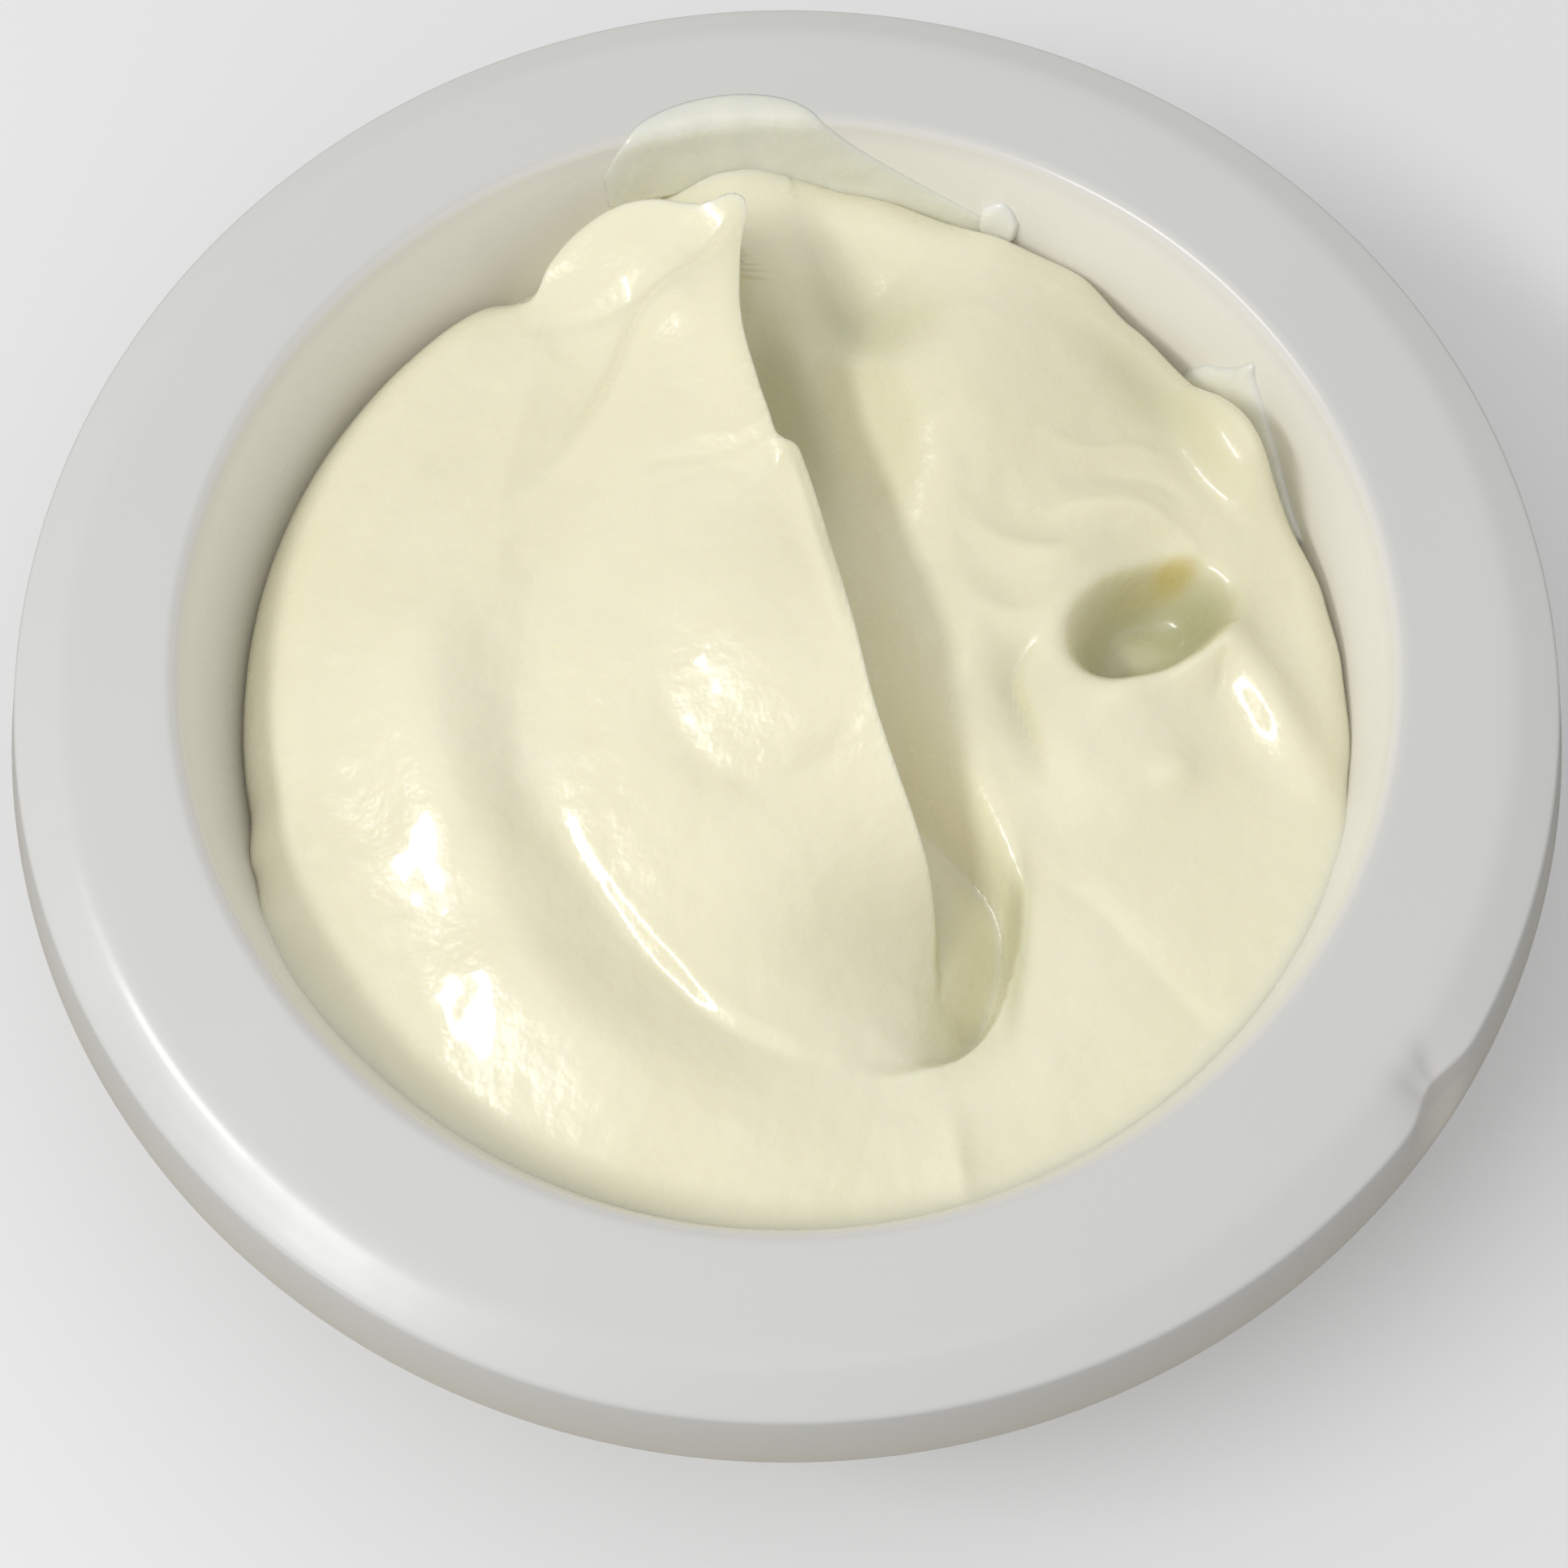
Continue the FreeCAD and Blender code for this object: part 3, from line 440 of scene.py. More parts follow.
def cream_surface(s, t, inside):
    """The cream's surface in millimetres, heights from the foot."""
    x, y, level = folded_surface(s, t, inside)
    angle = np.degrees(np.arctan2(y, x))
    wall_level, roll_width = wall_line(angle)
    near_wall = np.clip(1.0 - (well_radius(wall_level) - np.hypot(x, y)) / roll_width, 0.0, 1.0)
    level = level + (wall_level - level) * (1.0 - np.sqrt(1.0 - near_wall ** 2))
    away = 1.0 - near_wall
    for height, size, seed in RIPPLES:
        level = level + height * lattice_noise(x, y, size, seed) * away
    return np.stack([x, y, RIM - CREAM_DROP + level], -1)


def disc_grid(count):
    """The two coordinates of a square grid's points, drawn on the unit disc."""
    side = np.linspace(-1.0, 1.0, count)
    a, b = np.meshgrid(side, side, indexing="ij")
    u = a * np.sqrt(1.0 - b * b / 2.0)
    v = b * np.sqrt(1.0 - a * a / 2.0)
    return u, v


def border(count):
    """Indices of a square grid's outer points, in order round it."""
    last = count - 1
    low = [(i, 0) for i in range(last)]
    right = [(last, j) for j in range(last)]
    high = [(i, last) for i in range(last, 0, -1)]
    left = [(0, j) for j in range(last, 0, -1)]
    return [i * count + j for i, j in low + right + high + left]


IN_WALL = 0.25                  # the cream reaches this far into the wall, so no gap shows
CREAM_BOTTOM = FLOOR + 1.0      # it ends just above the floor
CREAM_GRID = 289  # points along each side of the surface's grid


def make_cream(material):
    """The cream: its folded surface, closed below along the well."""
    count = CREAM_GRID
    u, v = disc_grid(count)
    angle = np.degrees(np.arctan2(v, u))
    reach = well_radius(wall_line(angle)[0]) + IN_WALL
    inside = reach * (1.0 - np.hypot(u, v))
    points = cream_surface(u * reach, v * reach, inside).reshape(-1, 3)
    ring = border(count)
    wall_points = points[ring]
    points = points.tolist()
    index = np.arange(count * count).reshape(count, count)
    faces = np.stack([index[:-1, :-1], index[1:, :-1], index[1:, 1:], index[:-1, 1:]], -1)
    faces = faces.reshape(-1, 4).tolist()
    direction = wall_points[:, :2] / np.hypot(wall_points[:, 0], wall_points[:, 1])[:, None]
    for share in (0.25, 0.5, 0.75, 1.0):
        height = between(wall_points[:, 2], CREAM_BOTTOM, share)
        radius = well_at_height(height) + IN_WALL
        following = list(range(len(points), len(points) + len(ring)))
        points += np.column_stack([direction * radius[:, None], height]).tolist()
        for k in range(len(ring)):
            n = (k + 1) % len(ring)
            faces.append((ring[k], following[k], following[n], ring[n]))
        ring = following
    centre = len(points)
    points.append((0.0, 0.0, CREAM_BOTTOM))
    for k in range(len(ring)):
        faces.append((ring[k], centre, ring[(k + 1) % len(ring)]))
    piece = mesh_piece("folded_cream", points, faces, material)
    x, y = np.array(points)[:, 0], np.array(points)[:, 1]
    # painted shade, as a mask: where the cream is coloured darker for shade
    add_mask(piece, "painted_shade", mounds(PAINTED_SHADE_SPOTS, x, y))
    add_mask(piece, "spot", mounds(YOLK_SPOT, x, y))
    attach(piece, "root")
    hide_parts("sour_cream")


# ------------------------------------------------------------------ the bowl

# Radius, height, rounding of each corner, from the middle of the floor round to the foot.
CORNER = OPENING + LEVEL_WIDTH + SHOULDER_WIDTH
FLOOR_CORNER = OPENING - BATTER
FOOT = FLOOR_CORNER - FOOT_INSET
BOWL_CORNERS = [
    (0.0, FLOOR, 0.0),
    (FLOOR_CORNER, FLOOR, 18.0),
    (OPENING, RIM, 1.6),
    (OPENING + LEVEL_WIDTH, RIM, 6.0),
    (CORNER, RIM - SHOULDER_FALL, 1.0),
    (CORNER + FLARE, RIM - SKIRT_DROP, 0.7),
    (CORNER + FLARE - WALL, RIM - SKIRT_DROP, 0.7),
    (CORNER - WALL, RIM - SHOULDER_FALL - WALL, 1.0),
    (OPENING + WALL, RIM - WALL, 1.5),
    (FLOOR_CORNER + WALL, FOOT_TOP, 20.4),
    (FOOT, FOOT_TOP, 0.8),
    (FOOT, 0.0, 0.6),
    (FOOT - FOOT_WIDTH, 0.0, 0.6),
    (FOOT - FOOT_WIDTH, FOOT_TOP, 0.8),
    (0.0, FOOT_TOP, 0.0),
]


OUTLINE_SPACING = 1.6
ARC_STEP = math.radians(9)      # a rounding turns this far from point to point at most
ROW_STEP = 1.5                  # degrees from row to row, round the bowl
DENT_STEP = 0.25                # the same near the dent
DENT_REACH = 8.0                # degrees to each side of the dent
# The row where the fine steps begin, how many there are, the angle where they end, all rows.
DENT_FROM = math.ceil((DENT_ANGLE - DENT_REACH) / ROW_STEP)
DENT_STEPS = math.floor((DENT_ANGLE + DENT_REACH - DENT_FROM * ROW_STEP) / DENT_STEP)
DENT_END = DENT_FROM * ROW_STEP + DENT_STEPS * DENT_STEP
ROWS = DENT_FROM + DENT_STEPS + math.ceil((360.0 - DENT_END) / ROW_STEP) + 1
MERGE = 0.001                   # what lies this near is joined: the seam and both poles


def rounded(corners, spacing):
    """The outline through the corners, each rounded, with points this far apart at most."""
    outline = [np.array(corners[0][:2])]
    for before, corner, after in zip(corners, corners[1:], corners[2:]):
        here = np.array(corner[:2])
        back = np.array(before[:2]) - here
        ahead = np.array(after[:2]) - here
        back /= np.linalg.norm(back)
        ahead /= np.linalg.norm(ahead)
        half = math.acos(np.clip(back @ ahead, -1, 1)) / 2
        reach = corner[2] / math.tan(half)
        middle = here + (back + ahead) / np.linalg.norm(back + ahead) * corner[2] / math.sin(half)
        start, end = here + back * reach, here + ahead * reach
        outline += straight(outline[-1], start, spacing)
        sweep = math.pi - 2 * half
        steps = math.ceil(max(sweep / ARC_STEP, sweep * corner[2] / spacing))
        for step in range(1, steps + 1):
            share = step / steps
            arm = (math.sin((1 - share) * sweep) * (start - middle)
                   + math.sin(share * sweep) * (end - middle))
            outline.append(middle + arm / math.sin(sweep))
    outline += straight(outline[-1], np.array(corners[-1][:2]), spacing)
    return np.array(outline)


def straight(start, end, spacing):
    """Points from just after start to end."""
    steps = max(1, int(math.ceil(np.linalg.norm(end - start) / spacing)))
    return [between(start, end, step / steps) for step in range(1, steps + 1)]


PROFILE = rounded(BOWL_CORNERS, OUTLINE_SPACING)
INNER = PROFILE[:int(np.argmax(PROFILE[:, 0]))]
INNER_WALL = INNER[INNER[:, 0] <= OPENING + LEVEL_WIDTH]


def well_at_height(height):
    """Radius of the well's wall at a height."""
    rising = INNER_WALL[np.argsort(INNER_WALL[:, 1], kind="stable")]
    rising = rising[rising[:, 0] < OPENING]
    return np.interp(height, rising[:, 1], rising[:, 0])


def dent(points):
    """Pushes in the edge of the rim at the dent, with small creases that fan inwards."""
    radius = np.hypot(points[:, 0], points[:, 1])
    angle = np.degrees(np.arctan2(points[:, 1], points[:, 0]))
    turn = (angle - DENT_ANGLE + 180.0) % 360.0 - 180.0
    along = np.radians(turn) * CORNER
    inward = CORNER - radius
    upper = points[:, 2] > DENT_FLOOR
    depth = DENT_DEPTH * bell(along, DENT_SIZE[0]) * bell(inward, DENT_SIZE[1]) * upper
    near = bell(along, CREASE_SIZE[0]) * bell(inward - CREASE_MIDDLE, CREASE_SIZE[1]) * upper
    fan = np.cos(CREASE_COUNT * np.arctan2(along, inward + CREASE_START))
    direction = points[:, :2] / np.maximum(radius, 1e-6)[:, None]
    moved = points.copy()
    moved[:, :2] -= direction * (depth * DENT_SHARES[0])[:, None]
    moved[:, 2] -= depth * DENT_SHARES[1] + CREASE_DEPTH * (1.0 - fan * near) * near
    return moved


def calculate(nodes, links, operation, *values):
    """A math node on sockets and numbers."""
    node = nodes.new("ShaderNodeMath")
    node.operation = operation
    for socket, value in zip(node.inputs, values):
        if isinstance(value, (int, float)):
            socket.default_value = value
        else:
            links.new(value, socket)
    return node.outputs["Value"]


def turned_outline():
    """Geometry nodes that turn an outline about +Z, with finer steps between some rows.

    Steps are in radians.  The last row lies on the first, and both are joined.
    """
    tree = bpy.data.node_groups.new("turned_outline", "GeometryNodeTree")
    for name, kind in (("Outline", "Geometry"), ("Points", "Int"), ("Rows", "Int"),
                       ("Row Step", "Float"), ("Fine Step", "Float"), ("Fine From", "Int"),
                       ("Fine Steps", "Int"), ("Merge Distance", "Float"),
                       ("Material", "Material")):
        tree.interface.new_socket(name, in_out="INPUT", socket_type="NodeSocket" + kind)
    tree.interface.new_socket("Turned", in_out="OUTPUT", socket_type="NodeSocketGeometry")
    nodes, links = tree.nodes, tree.links
    given = nodes.new("NodeGroupInput").outputs
    grid = nodes.new("GeometryNodeMeshGrid")
    links.new(given["Points"], grid.inputs["Vertices X"])
    links.new(given["Rows"], grid.inputs["Vertices Y"])
    index = nodes.new("GeometryNodeInputIndex").outputs["Index"]
    column = calculate(nodes, links, "DIVIDE", index, given["Rows"])
    column = calculate(nodes, links, "FLOOR", calculate(nodes, links, "ADD", column, 1e-4))
    row = calculate(nodes, links, "MULTIPLY", column, given["Rows"])
    row = calculate(nodes, links, "SUBTRACT", index, row)
    fine = calculate(nodes, links, "SUBTRACT", row, given["Fine From"])
    fine = calculate(nodes, links, "MAXIMUM", fine, 0.0)
    fine = calculate(nodes, links, "MINIMUM", fine, given["Fine Steps"])
    saved = calculate(nodes, links, "SUBTRACT", given["Row Step"], given["Fine Step"])
    saved = calculate(nodes, links, "MULTIPLY", saved, fine)
    angle = calculate(nodes, links, "MULTIPLY", row, given["Row Step"])
    angle = calculate(nodes, links, "SUBTRACT", angle, saved)
    angle = calculate(nodes, links, "MINIMUM", angle, 2 * math.pi)
    sample = nodes.new("GeometryNodeSampleIndex")
    sample.data_type = "FLOAT_VECTOR"
    links.new(given["Outline"], sample.inputs["Geometry"])
    links.new(nodes.new("GeometryNodeInputPosition").outputs["Position"], sample.inputs["Value"])
    links.new(column, sample.inputs["Index"])
    split = nodes.new("ShaderNodeSeparateXYZ")
    links.new(sample.outputs["Value"], split.inputs["Vector"])
    place = nodes.new("ShaderNodeCombineXYZ")
    for axis, turn in (("X", "COSINE"), ("Y", "SINE")):
        arm = calculate(nodes, links, turn, angle)
        arm = calculate(nodes, links, "MULTIPLY", arm, split.outputs["X"])
        links.new(arm, place.inputs[axis])
    links.new(split.outputs["Z"], place.inputs["Z"])
    position = nodes.new("GeometryNodeSetPosition")
    links.new(grid.outputs["Mesh"], position.inputs["Geometry"])
    links.new(place.outputs["Vector"], position.inputs["Position"])
    merge = nodes.new("GeometryNodeMergeByDistance")
    links.new(position.outputs["Geometry"], merge.inputs["Geometry"])
    links.new(given["Merge Distance"], merge.inputs["Distance"])
    smooth = nodes.new("GeometryNodeSetShadeSmooth")
    links.new(merge.outputs["Geometry"], smooth.inputs["Geometry"])
    realize = nodes.new("GeometryNodeRealizeInstances")
    links.new(smooth.outputs["Geometry"], realize.inputs["Geometry"])
    finish = nodes.new("GeometryNodeSetMaterial")
    links.new(realize.outputs["Geometry"], finish.inputs["Geometry"])
    links.new(given["Material"], finish.inputs["Material"])
    links.new(finish.outputs["Geometry"], nodes.new("NodeGroupOutput").inputs["Turned"])
    return tree


def make_bowl(material):
    """The bowl: its outline turned about the axis, closed at both poles, then dented."""
    outline = bpy.data.meshes.new("bowl_outline")
    corners = np.column_stack([PROFILE[:, 0], np.zeros(len(PROFILE)), PROFILE[:, 1]]) * MM
    outline.from_pydata(corners.tolist(), [(k, k + 1) for k in range(len(corners) - 1)], [])
    piece = bpy.data.objects.new("rimmed_bowl", outline)
    bpy.context.scene.collection.objects.link(piece)
    modifier = piece.modifiers.new("turned", "NODES")
    modifier.node_group = turned_outline()
    sizes = {"Points": len(corners), "Rows": ROWS, "Row Step": math.radians(ROW_STEP),
             "Fine Step": math.radians(DENT_STEP), "Fine From": DENT_FROM,
             "Fine Steps": DENT_STEPS, "Merge Distance": MERGE * MM, "Material": material}
    for socket in modifier.node_group.interface.items_tree:
        if socket.name in sizes:
            modifier[socket.identifier] = sizes[socket.name]
    graph = bpy.context.evaluated_depsgraph_get()
    mesh = bpy.data.meshes.new_from_object(piece.evaluated_get(graph))
    piece.modifiers.clear()
    piece.data = mesh
    bpy.data.meshes.remove(outline)
    mesh.name = piece.name
    points = np.empty(3 * len(mesh.vertices))
    mesh.vertices.foreach_get("co", points)
    points = dent(points.reshape(-1, 3) / MM) * MM
    mesh.vertices.foreach_set("co", points.ravel())
    mesh.update()
    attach(piece, "root")
    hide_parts("bowl")


# ------------------------------------------------------------------ smears on the wall

# Angle round from +X; the smear's low and high edge, along the bowl's surface from the lip
# of the well: below nothing down the wall, above it out over the rim.
BACK_SMEAR = smooth_rows([
    (110.0, -9.0, -5.0), (108.0, -9.0, -1.6), (105.5, -9.0, 0.9), (102.0, -9.0, 2.4),
    (98.0, -9.0, 3.1), (94.0, -9.0, 3.1), (90.5, -9.5, 2.4), (88.0, -10.0, 1.0),
    (86.0, -10.5, -0.8), (83.0, -11.5, -3.4), (79.0, -13.0, -5.8), (74.0, -15.0, -8.0),
    (69.0, -16.0, -9.6), (65.0, -17.0, -11.0),
], 6)
TONGUE = smooth_rows([
    (40.0, -17.5, -14.0), (38.2, -17.5, -11.0), (36.6, -17.5, -9.6), (34.8, -17.0, -7.4),
    (33.4, -17.0, -5.0), (32.2, -17.0, -6.4), (29.0, -17.0, -8.6), (26.0, -17.0, -10.4),
    (21.0, -17.5, -13.0), (16.0, -17.5, -14.2),
], 6)
WALL_DROP = smooth_rows([
    (68.4, -10.4, -8.4), (67.4, -11.4, -7.2), (66.2, -11.8, -6.6), (65.0, -11.4, -7.4),
    (64.0, -10.8, -8.8),
], 6)
SMEAR_POINTS = 28               # across each smear
SMEAR_SUNK = -0.25              # its underside, in the bowl's wall
SMEAR_LUMPS = (0.25, 2.5, 11)   # share of its thickness, size, seed
SMEAR_ROUND = 60.0              # at this radius, the lumps are as long round as across
SLOPE_REACH = 0.3               # the bowl's slope is taken this far to each side


def bowl_surface(distance):
    """Radius, height and outward direction of the bowl's surface, this far from the lip."""
    steps = np.hypot(*np.diff(PROFILE, axis=0).T)
    run = np.concatenate([[0.0], np.cumsum(steps)])
    lip = np.argmin(np.hypot(PROFILE[:, 0] - OPENING, PROFILE[:, 1] - RIM))
    run -= run[lip]
    radius, height = (np.interp(distance, run, PROFILE[:, k]) for k in (0, 1))
    ahead, behind = ([np.interp(distance + shift, run, PROFILE[:, k]) for k in (0, 1)]
                     for shift in (SLOPE_REACH, -SLOPE_REACH))
    across, up = ahead[0] - behind[0], ahead[1] - behind[1]
    length = np.hypot(across, up)
    return radius, height, -up / length, across / length


def make_smear(name, rows, thickness, material):
    """A thin closed smear of cream on the bowl between two edges, with a rounded rim."""
    count = SMEAR_POINTS
    share = np.linspace(0.0, 1.0, count)[None, :]
    across = np.linspace(0.0, 1.0, len(rows))[:, None]
    distance = between(rows[:, 1:2], rows[:, 2:3], share)
    angle = np.radians(rows[:, 0:1]) + np.zeros(distance.shape)
    radius, height, out_r, out_z = bowl_surface(distance)
    rounding = (1.0 - share ** 4) * (1.0 - np.abs(2.0 * across - 1.0) ** 8)
    part, size, seed = SMEAR_LUMPS
    lumps = 1.0 + part * lattice_noise(angle * SMEAR_ROUND, distance, size, seed)
    raised = thickness * np.sqrt(rounding) * lumps
    points = []
    for lift in (raised, np.full(raised.shape, SMEAR_SUNK)):
        r, z = radius + out_r * lift, height + out_z * lift
        points.append(np.stack([r * np.cos(angle), r * np.sin(angle), z], -1).reshape(-1, 3))
    index = np.arange(len(rows) * count).reshape(len(rows), count)
    top = np.stack([index[:-1, :-1], index[1:, :-1], index[1:, 1:], index[:-1, 1:]], -1)
    under = top[..., ::-1] + index.size
    ring = np.concatenate([index[0, :-1], index[:-1, -1], index[-1, :0:-1], index[:0:-1, 0]])
    onward = np.roll(ring, -1)
    sides = np.stack([ring, onward, onward + index.size, ring + index.size], -1)
    faces = np.vstack([top.reshape(-1, 4), under.reshape(-1, 4), sides]).tolist()
    piece = mesh_piece(name, np.vstack(points), faces, material)
    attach(piece, "root")


# ------------------------------------------------------------------ materials

# painted shade: the yellow-green the cream is coloured where shade falls on it
PAINTED_SHADE_COLOUR = (0.51, 0.50, 0.29)
YOLK_COLOUR = (0.62, 0.50, 0.14)
RIM_COLOURS = ((0.625, 0.620, 0.595), (0.655, 0.650, 0.625))
# painted shade: the skirt coloured darker and warmer than the rim
SKIRT_PAINTED_SHADE = (0.60, 0.57, 0.49)
# painted light: the well's wall coloured brighter than the rim, for the light it gets inside the
# well
WELL_PAINTED_LIGHT = (0.86, 0.845, 0.79)
WELL_BLEND = 0.6                # the well's colour blends in over this much at its lip
FLOOR_COLOURS = ((0.30, 0.30, 0.29), (0.82, 0.82, 0.82))
CREAM_SHADES = {
    "wet_cream": ((0.838, 0.794, 0.575), (0.868, 0.832, 0.635)),
    "thin_cream": ((0.84, 0.82, 0.66), (0.88, 0.86, 0.70)),
    "white_cream": ((0.90, 0.88, 0.76), (0.92, 0.90, 0.80)),
}
CREAM_VALUES = {
    "Subsurface Weight": 0.35, "Subsurface Radius": (1.0, 0.8, 0.45), "Subsurface Scale": 0.004,
    "Coat Weight": 0.5, "Coat Roughness": 0.06,
}

# Noises: lumps to the metre, detail, roughness where it isn't a half.
PATCHES, WETNESS, LUMPS, GRAIN = (28.0, 3.0), (160.0, 4.0), (480.0, 2.0), (1100.0, 2.0, 0.6)
BOWL_PATCHES, SMUDGES, RIPPLE = (22.0, 3.0), (60.0, 4.0), (240.0, 2.0)
# Bumps: depth in metres, strength.
LUMP_BUMP, GRAIN_BUMP, RIPPLE_BUMP = (0.0005, 0.30), (0.00015, 0.15), (0.0001, 0.2)
# Roughness, from the smoothest part to the dullest.
CREAM_ROUGHNESS, BOWL_ROUGHNESS, FLOOR_ROUGHNESS = (0.20, 0.32), (0.18, 0.32), 0.6


def new_material(name):
    """A material with its Principled shader; returns it, its nodes, its links, the shader."""
    material = bpy.data.materials.new(name)
    material.use_nodes = True
    nodes = material.node_tree.nodes
    return material, nodes, material.node_tree.links, nodes["Principled BSDF"]


def coordinates(nodes):
    """Object coordinates, in metres."""
    return nodes.new("ShaderNodeTexCoord").outputs["Object"]


def noise(nodes, links, where, scale, detail, roughness=0.5):
    """Noise with this many lumps to the metre."""
    node = nodes.new("ShaderNodeTexNoise")
    node.inputs["Scale"].default_value = scale
    node.inputs["Detail"].default_value = detail
    node.inputs["Roughness"].default_value = roughness
    links.new(where, node.inputs["Vector"])
    return node.outputs["Fac"]


def remap(nodes, links, value, start, end, low, high):
    """The value's range from start to end, spread from low to high."""
    node = nodes.new("ShaderNodeMapRange")
    for name, number in zip(("From Min", "From Max", "To Min", "To Max"), (start, end, low, high)):
        node.inputs[name].default_value = number
    links.new(value, node.inputs["Value"])
    return node.outputs["Result"]


def blend_colours(nodes, links, share, first, second):
    """From the first colour to the second."""
    node = nodes.new("ShaderNodeMix")
    node.data_type = "RGBA"
    links.new(share, node.inputs["Factor"])
    for socket, colour in zip((node.inputs[6], node.inputs[7]), (first, second)):
        if isinstance(colour, tuple):
            socket.default_value = colour + (1.0,)
        else:
            links.new(colour, socket)
    return node.outputs[2]


def mask_value(nodes, name):
    """The value of a piece's mask."""
    node = nodes.new("ShaderNodeAttribute")
    node.attribute_name = name
    return node.outputs["Fac"]


def bump(nodes, links, height, distance, strength, normal=None):
    """A bump of this depth in metres."""
    node = nodes.new("ShaderNodeBump")
    node.inputs["Distance"].default_value = distance
    node.inputs["Strength"].default_value = strength
    links.new(height, node.inputs["Height"])
    if normal is not None:
        links.new(normal, node.inputs["Normal"])
    return node.outputs["Normal"]


def cream_skin():
    """Shader group: cream in patches of two near shades, darkened by painted shade and stained by
    yolk.
    """
    group = bpy.data.node_groups.new("cream_skin", "ShaderNodeTree")
    for name in ("First Shade", "Second Shade"):
        group.interface.new_socket(name, in_out="INPUT", socket_type="NodeSocketColor")
    for name, kind in (("Colour", "Color"), ("Roughness", "Float"), ("Normal", "Vector")):
        group.interface.new_socket(name, in_out="OUTPUT", socket_type="NodeSocket" + kind)
    nodes, links = group.nodes, group.links
    given = nodes.new("NodeGroupInput").outputs
    result = nodes.new("NodeGroupOutput").inputs
    where = coordinates(nodes)
    share = remap(nodes, links, noise(nodes, links, where, *PATCHES), 0.35, 0.65, 0.0, 1.0)
    colour = blend_colours(nodes, links, share, given["First Shade"], given["Second Shade"])
    # painted shade first, then the real yellow stain
    for mask, stain in (("painted_shade", PAINTED_SHADE_COLOUR), ("spot", YOLK_COLOUR)):
        colour = blend_colours(nodes, links, mask_value(nodes, mask), colour, stain)
    links.new(colour, result["Colour"])
    wetness = noise(nodes, links, where, *WETNESS)
    links.new(remap(nodes, links, wetness, 0.3, 0.7, *CREAM_ROUGHNESS), result["Roughness"])
    lumps = noise(nodes, links, where, *LUMPS)
    grain = noise(nodes, links, where, *GRAIN)
    normal = bump(nodes, links, lumps, *LUMP_BUMP)
    links.new(bump(nodes, links, grain, *GRAIN_BUMP, normal), result["Normal"])
    return group


def cream_material(name, skin, first, second):
    """Wet, thick cream, in patches of two shades."""
    material, nodes, links, shader = new_material(name)
    surface = nodes.new("ShaderNodeGroup")
    surface.node_tree = skin
    surface.inputs["First Shade"].default_value = first + (1.0,)
    surface.inputs["Second Shade"].default_value = second + (1.0,)
    links.new(surface.outputs["Colour"], shader.inputs["Base Color"])
    links.new(surface.outputs["Roughness"], shader.inputs["Roughness"])
    links.new(surface.outputs["Normal"], shader.inputs["Normal"])
    for socket, value in CREAM_VALUES.items():
        shader.inputs[socket].default_value = value
    return material


def bowl_material():
    """Glossy moulded white plastic, with painted shade (darker and warmer) on the skirt and painted
    light (brighter) on the well's wall.
    """
    material, nodes, links, shader = new_material("white_moulding")
    where = coordinates(nodes)
    patches = noise(nodes, links, where, *BOWL_PATCHES)
    colour = blend_colours(nodes, links, patches, *RIM_COLOURS)
    split = nodes.new("ShaderNodeSeparateXYZ")
    links.new(where, split.inputs["Vector"])
    # painted shade on the skirt, which faces away from the light
    skirt = remap(nodes, links, split.outputs["Z"], (RIM - SKIRT_DROP) * MM,
                  (RIM - SHOULDER_FALL) * MM, 1.0, 0.0)
    colour = blend_colours(nodes, links, skirt, colour, SKIRT_PAINTED_SHADE)
    radius = nodes.new("ShaderNodeVectorMath")
    radius.operation = "LENGTH"
    flat = nodes.new("ShaderNodeCombineXYZ")
    links.new(split.outputs["X"], flat.inputs["X"])
    links.new(split.outputs["Y"], flat.inputs["Y"])
    links.new(flat.outputs["Vector"], radius.inputs[0])
    # painted light on the well's wall, brighter than the rim
    well = remap(nodes, links, radius.outputs["Value"], (OPENING - WELL_BLEND) * MM,
                 (OPENING + WELL_BLEND) * MM, 1.0, 0.0)
    colour = blend_colours(nodes, links, well, colour, WELL_PAINTED_LIGHT)
    links.new(colour, shader.inputs["Base Color"])
    smudges = noise(nodes, links, where, *SMUDGES)
    smudges = remap(nodes, links, smudges, 0.3, 0.7, *BOWL_ROUGHNESS)
    links.new(smudges, shader.inputs["Roughness"])
    ripple = noise(nodes, links, where, *RIPPLE)
    links.new(bump(nodes, links, ripple, *RIPPLE_BUMP), shader.inputs["Normal"])
    return material


def floor_material():
    """Plain pale floor, brighter to the camera than as light on the bowl."""
    material, nodes, links, shader = new_material("pale_floor")
    path = nodes.new("ShaderNodeLightPath")
    colour = blend_colours(nodes, links, path.outputs["Is Camera Ray"], *FLOOR_COLOURS)
    links.new(colour, shader.inputs["Base Color"])
    shader.inputs["Roughness"].default_value = FLOOR_ROUGHNESS
    return material


# ------------------------------------------------------------------ stage

FLOOR_HALF = 3.0                # metres
CAMERA_LENS = 51.24
CAMERA_BACK = 98.03             # in front of the bowl's axis
CAMERA_HEIGHT = 206.45          # above the rim
CAMERA_LOOKS_DOWN = 68.8        # degrees
CAMERA_ROLL = 0.17

# Direction from the bowl, distance and size in metres, power.
KEY_LAMP = ((-0.62, -0.25, 0.75), 0.9, (0.52, 0.10), 2.6)
FILL_LAMP = ((-0.3, -0.2, 0.9), 1.4, (1.3, 1.3), 2.3)
SURROUND = 0.65


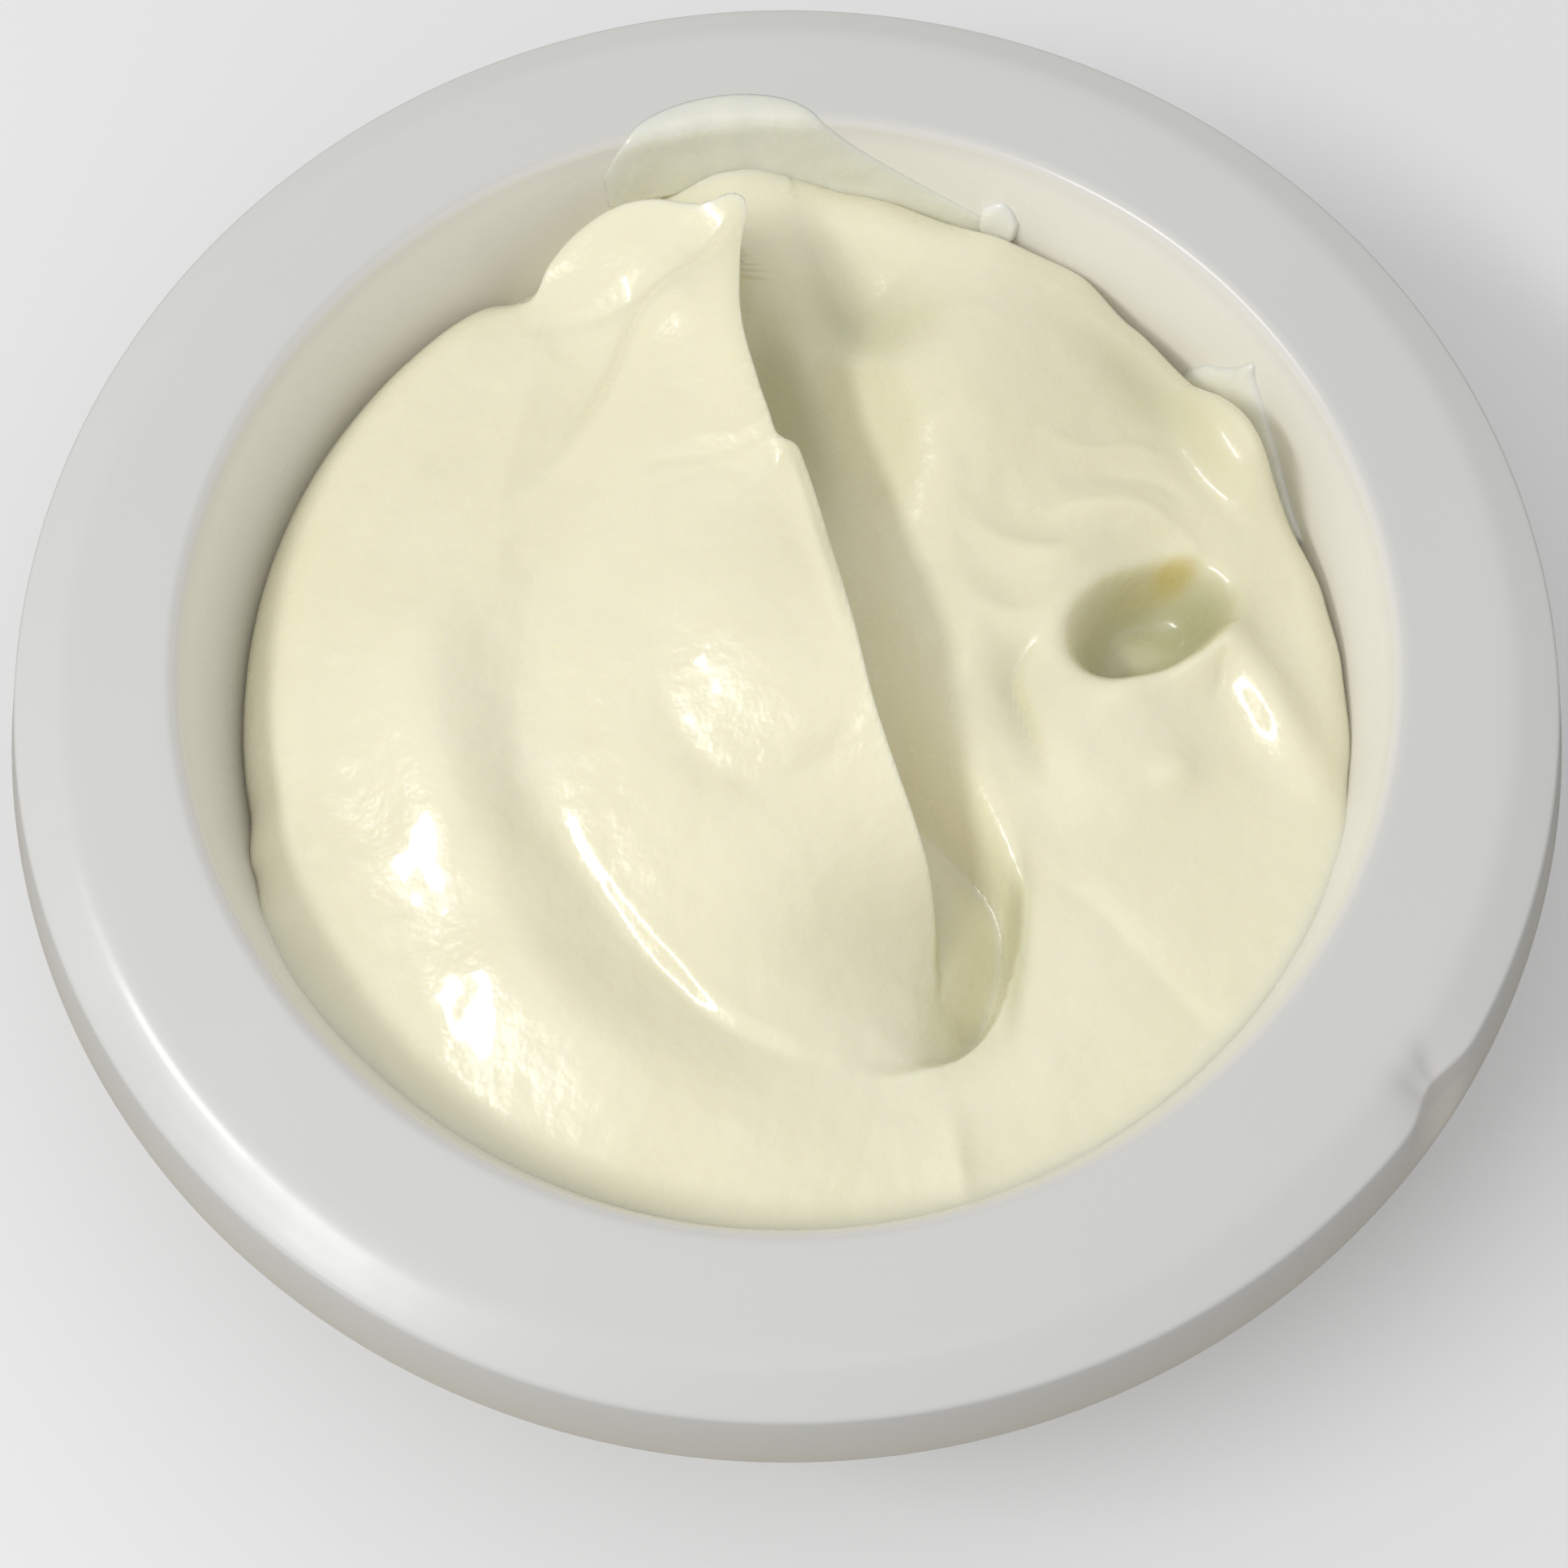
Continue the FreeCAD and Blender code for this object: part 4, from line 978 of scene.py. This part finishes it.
def make_floor():
    """A wide level floor."""
    mesh = bpy.data.meshes.new("floor")
    corners = [(x * FLOOR_HALF, y * FLOOR_HALF, 0) for x, y in ((-1, -1), (1, -1), (1, 1), (-1, 1))]
    mesh.from_pydata(corners, [], [(0, 1, 2, 3)])
    mesh.materials.append(floor_material())
    floor = bpy.data.objects.new("floor", mesh)
    bpy.context.scene.collection.objects.link(floor)


def look_along(direction):
    """Turn of a lamp or camera that looks in a direction."""
    return Vector(direction).to_track_quat("-Z", "Y").to_euler()


def area_lamp(name, direction, distance, size, power):
    """A rectangular lamp that faces the bowl from a direction."""
    light = bpy.data.lights.new(name, "AREA")
    light.shape = "RECTANGLE"
    light.size, light.size_y = size
    light.energy = power
    lamp = bpy.data.objects.new(name, light)
    bpy.context.scene.collection.objects.link(lamp)
    aim = np.array(direction) / np.linalg.norm(direction)
    lamp.location = aim * distance
    lamp.rotation_euler = look_along(-aim)


def make_lights():
    """A key from the left, a broad soft fill and an even surround."""
    area_lamp("key", *KEY_LAMP)
    area_lamp("fill", *FILL_LAMP)
    world = bpy.data.worlds.new("surround")
    world.use_nodes = True
    background = world.node_tree.nodes["Background"]
    background.inputs["Color"].default_value = (1.0, 1.0, 1.0, 1.0)
    background.inputs["Strength"].default_value = SURROUND
    bpy.context.scene.world = world


def make_camera():
    """A close camera that looks down at the bowl from its front."""
    data = bpy.data.cameras.new("camera")
    data.sensor_width = 36.0
    data.lens = CAMERA_LENS
    data.clip_start = 0.01
    camera = bpy.data.objects.new("camera", data)
    bpy.context.scene.collection.objects.link(camera)
    camera.location = (0.0, -CAMERA_BACK * MM, (RIM + CAMERA_HEIGHT) * MM)
    camera.rotation_euler = (math.radians(90.0 - CAMERA_LOOKS_DOWN), 0.0, math.radians(CAMERA_ROLL))
    bpy.context.scene.camera = camera


make_camera()
make_lights()
make_floor()
make_bowl(bowl_material())
SKIN = cream_skin()
WET, THIN, WHITE = (cream_material(name, SKIN, *shades) for name, shades in CREAM_SHADES.items())
make_cream(WET)
make_smear("back_smear", BACK_SMEAR, thickness=0.7, material=THIN)
make_smear("right_tongue", TONGUE, thickness=1.3, material=WHITE)
make_smear("wall_drop", WALL_DROP, thickness=1.1, material=WHITE)

bpy.context.scene.view_settings.view_transform = "Standard"
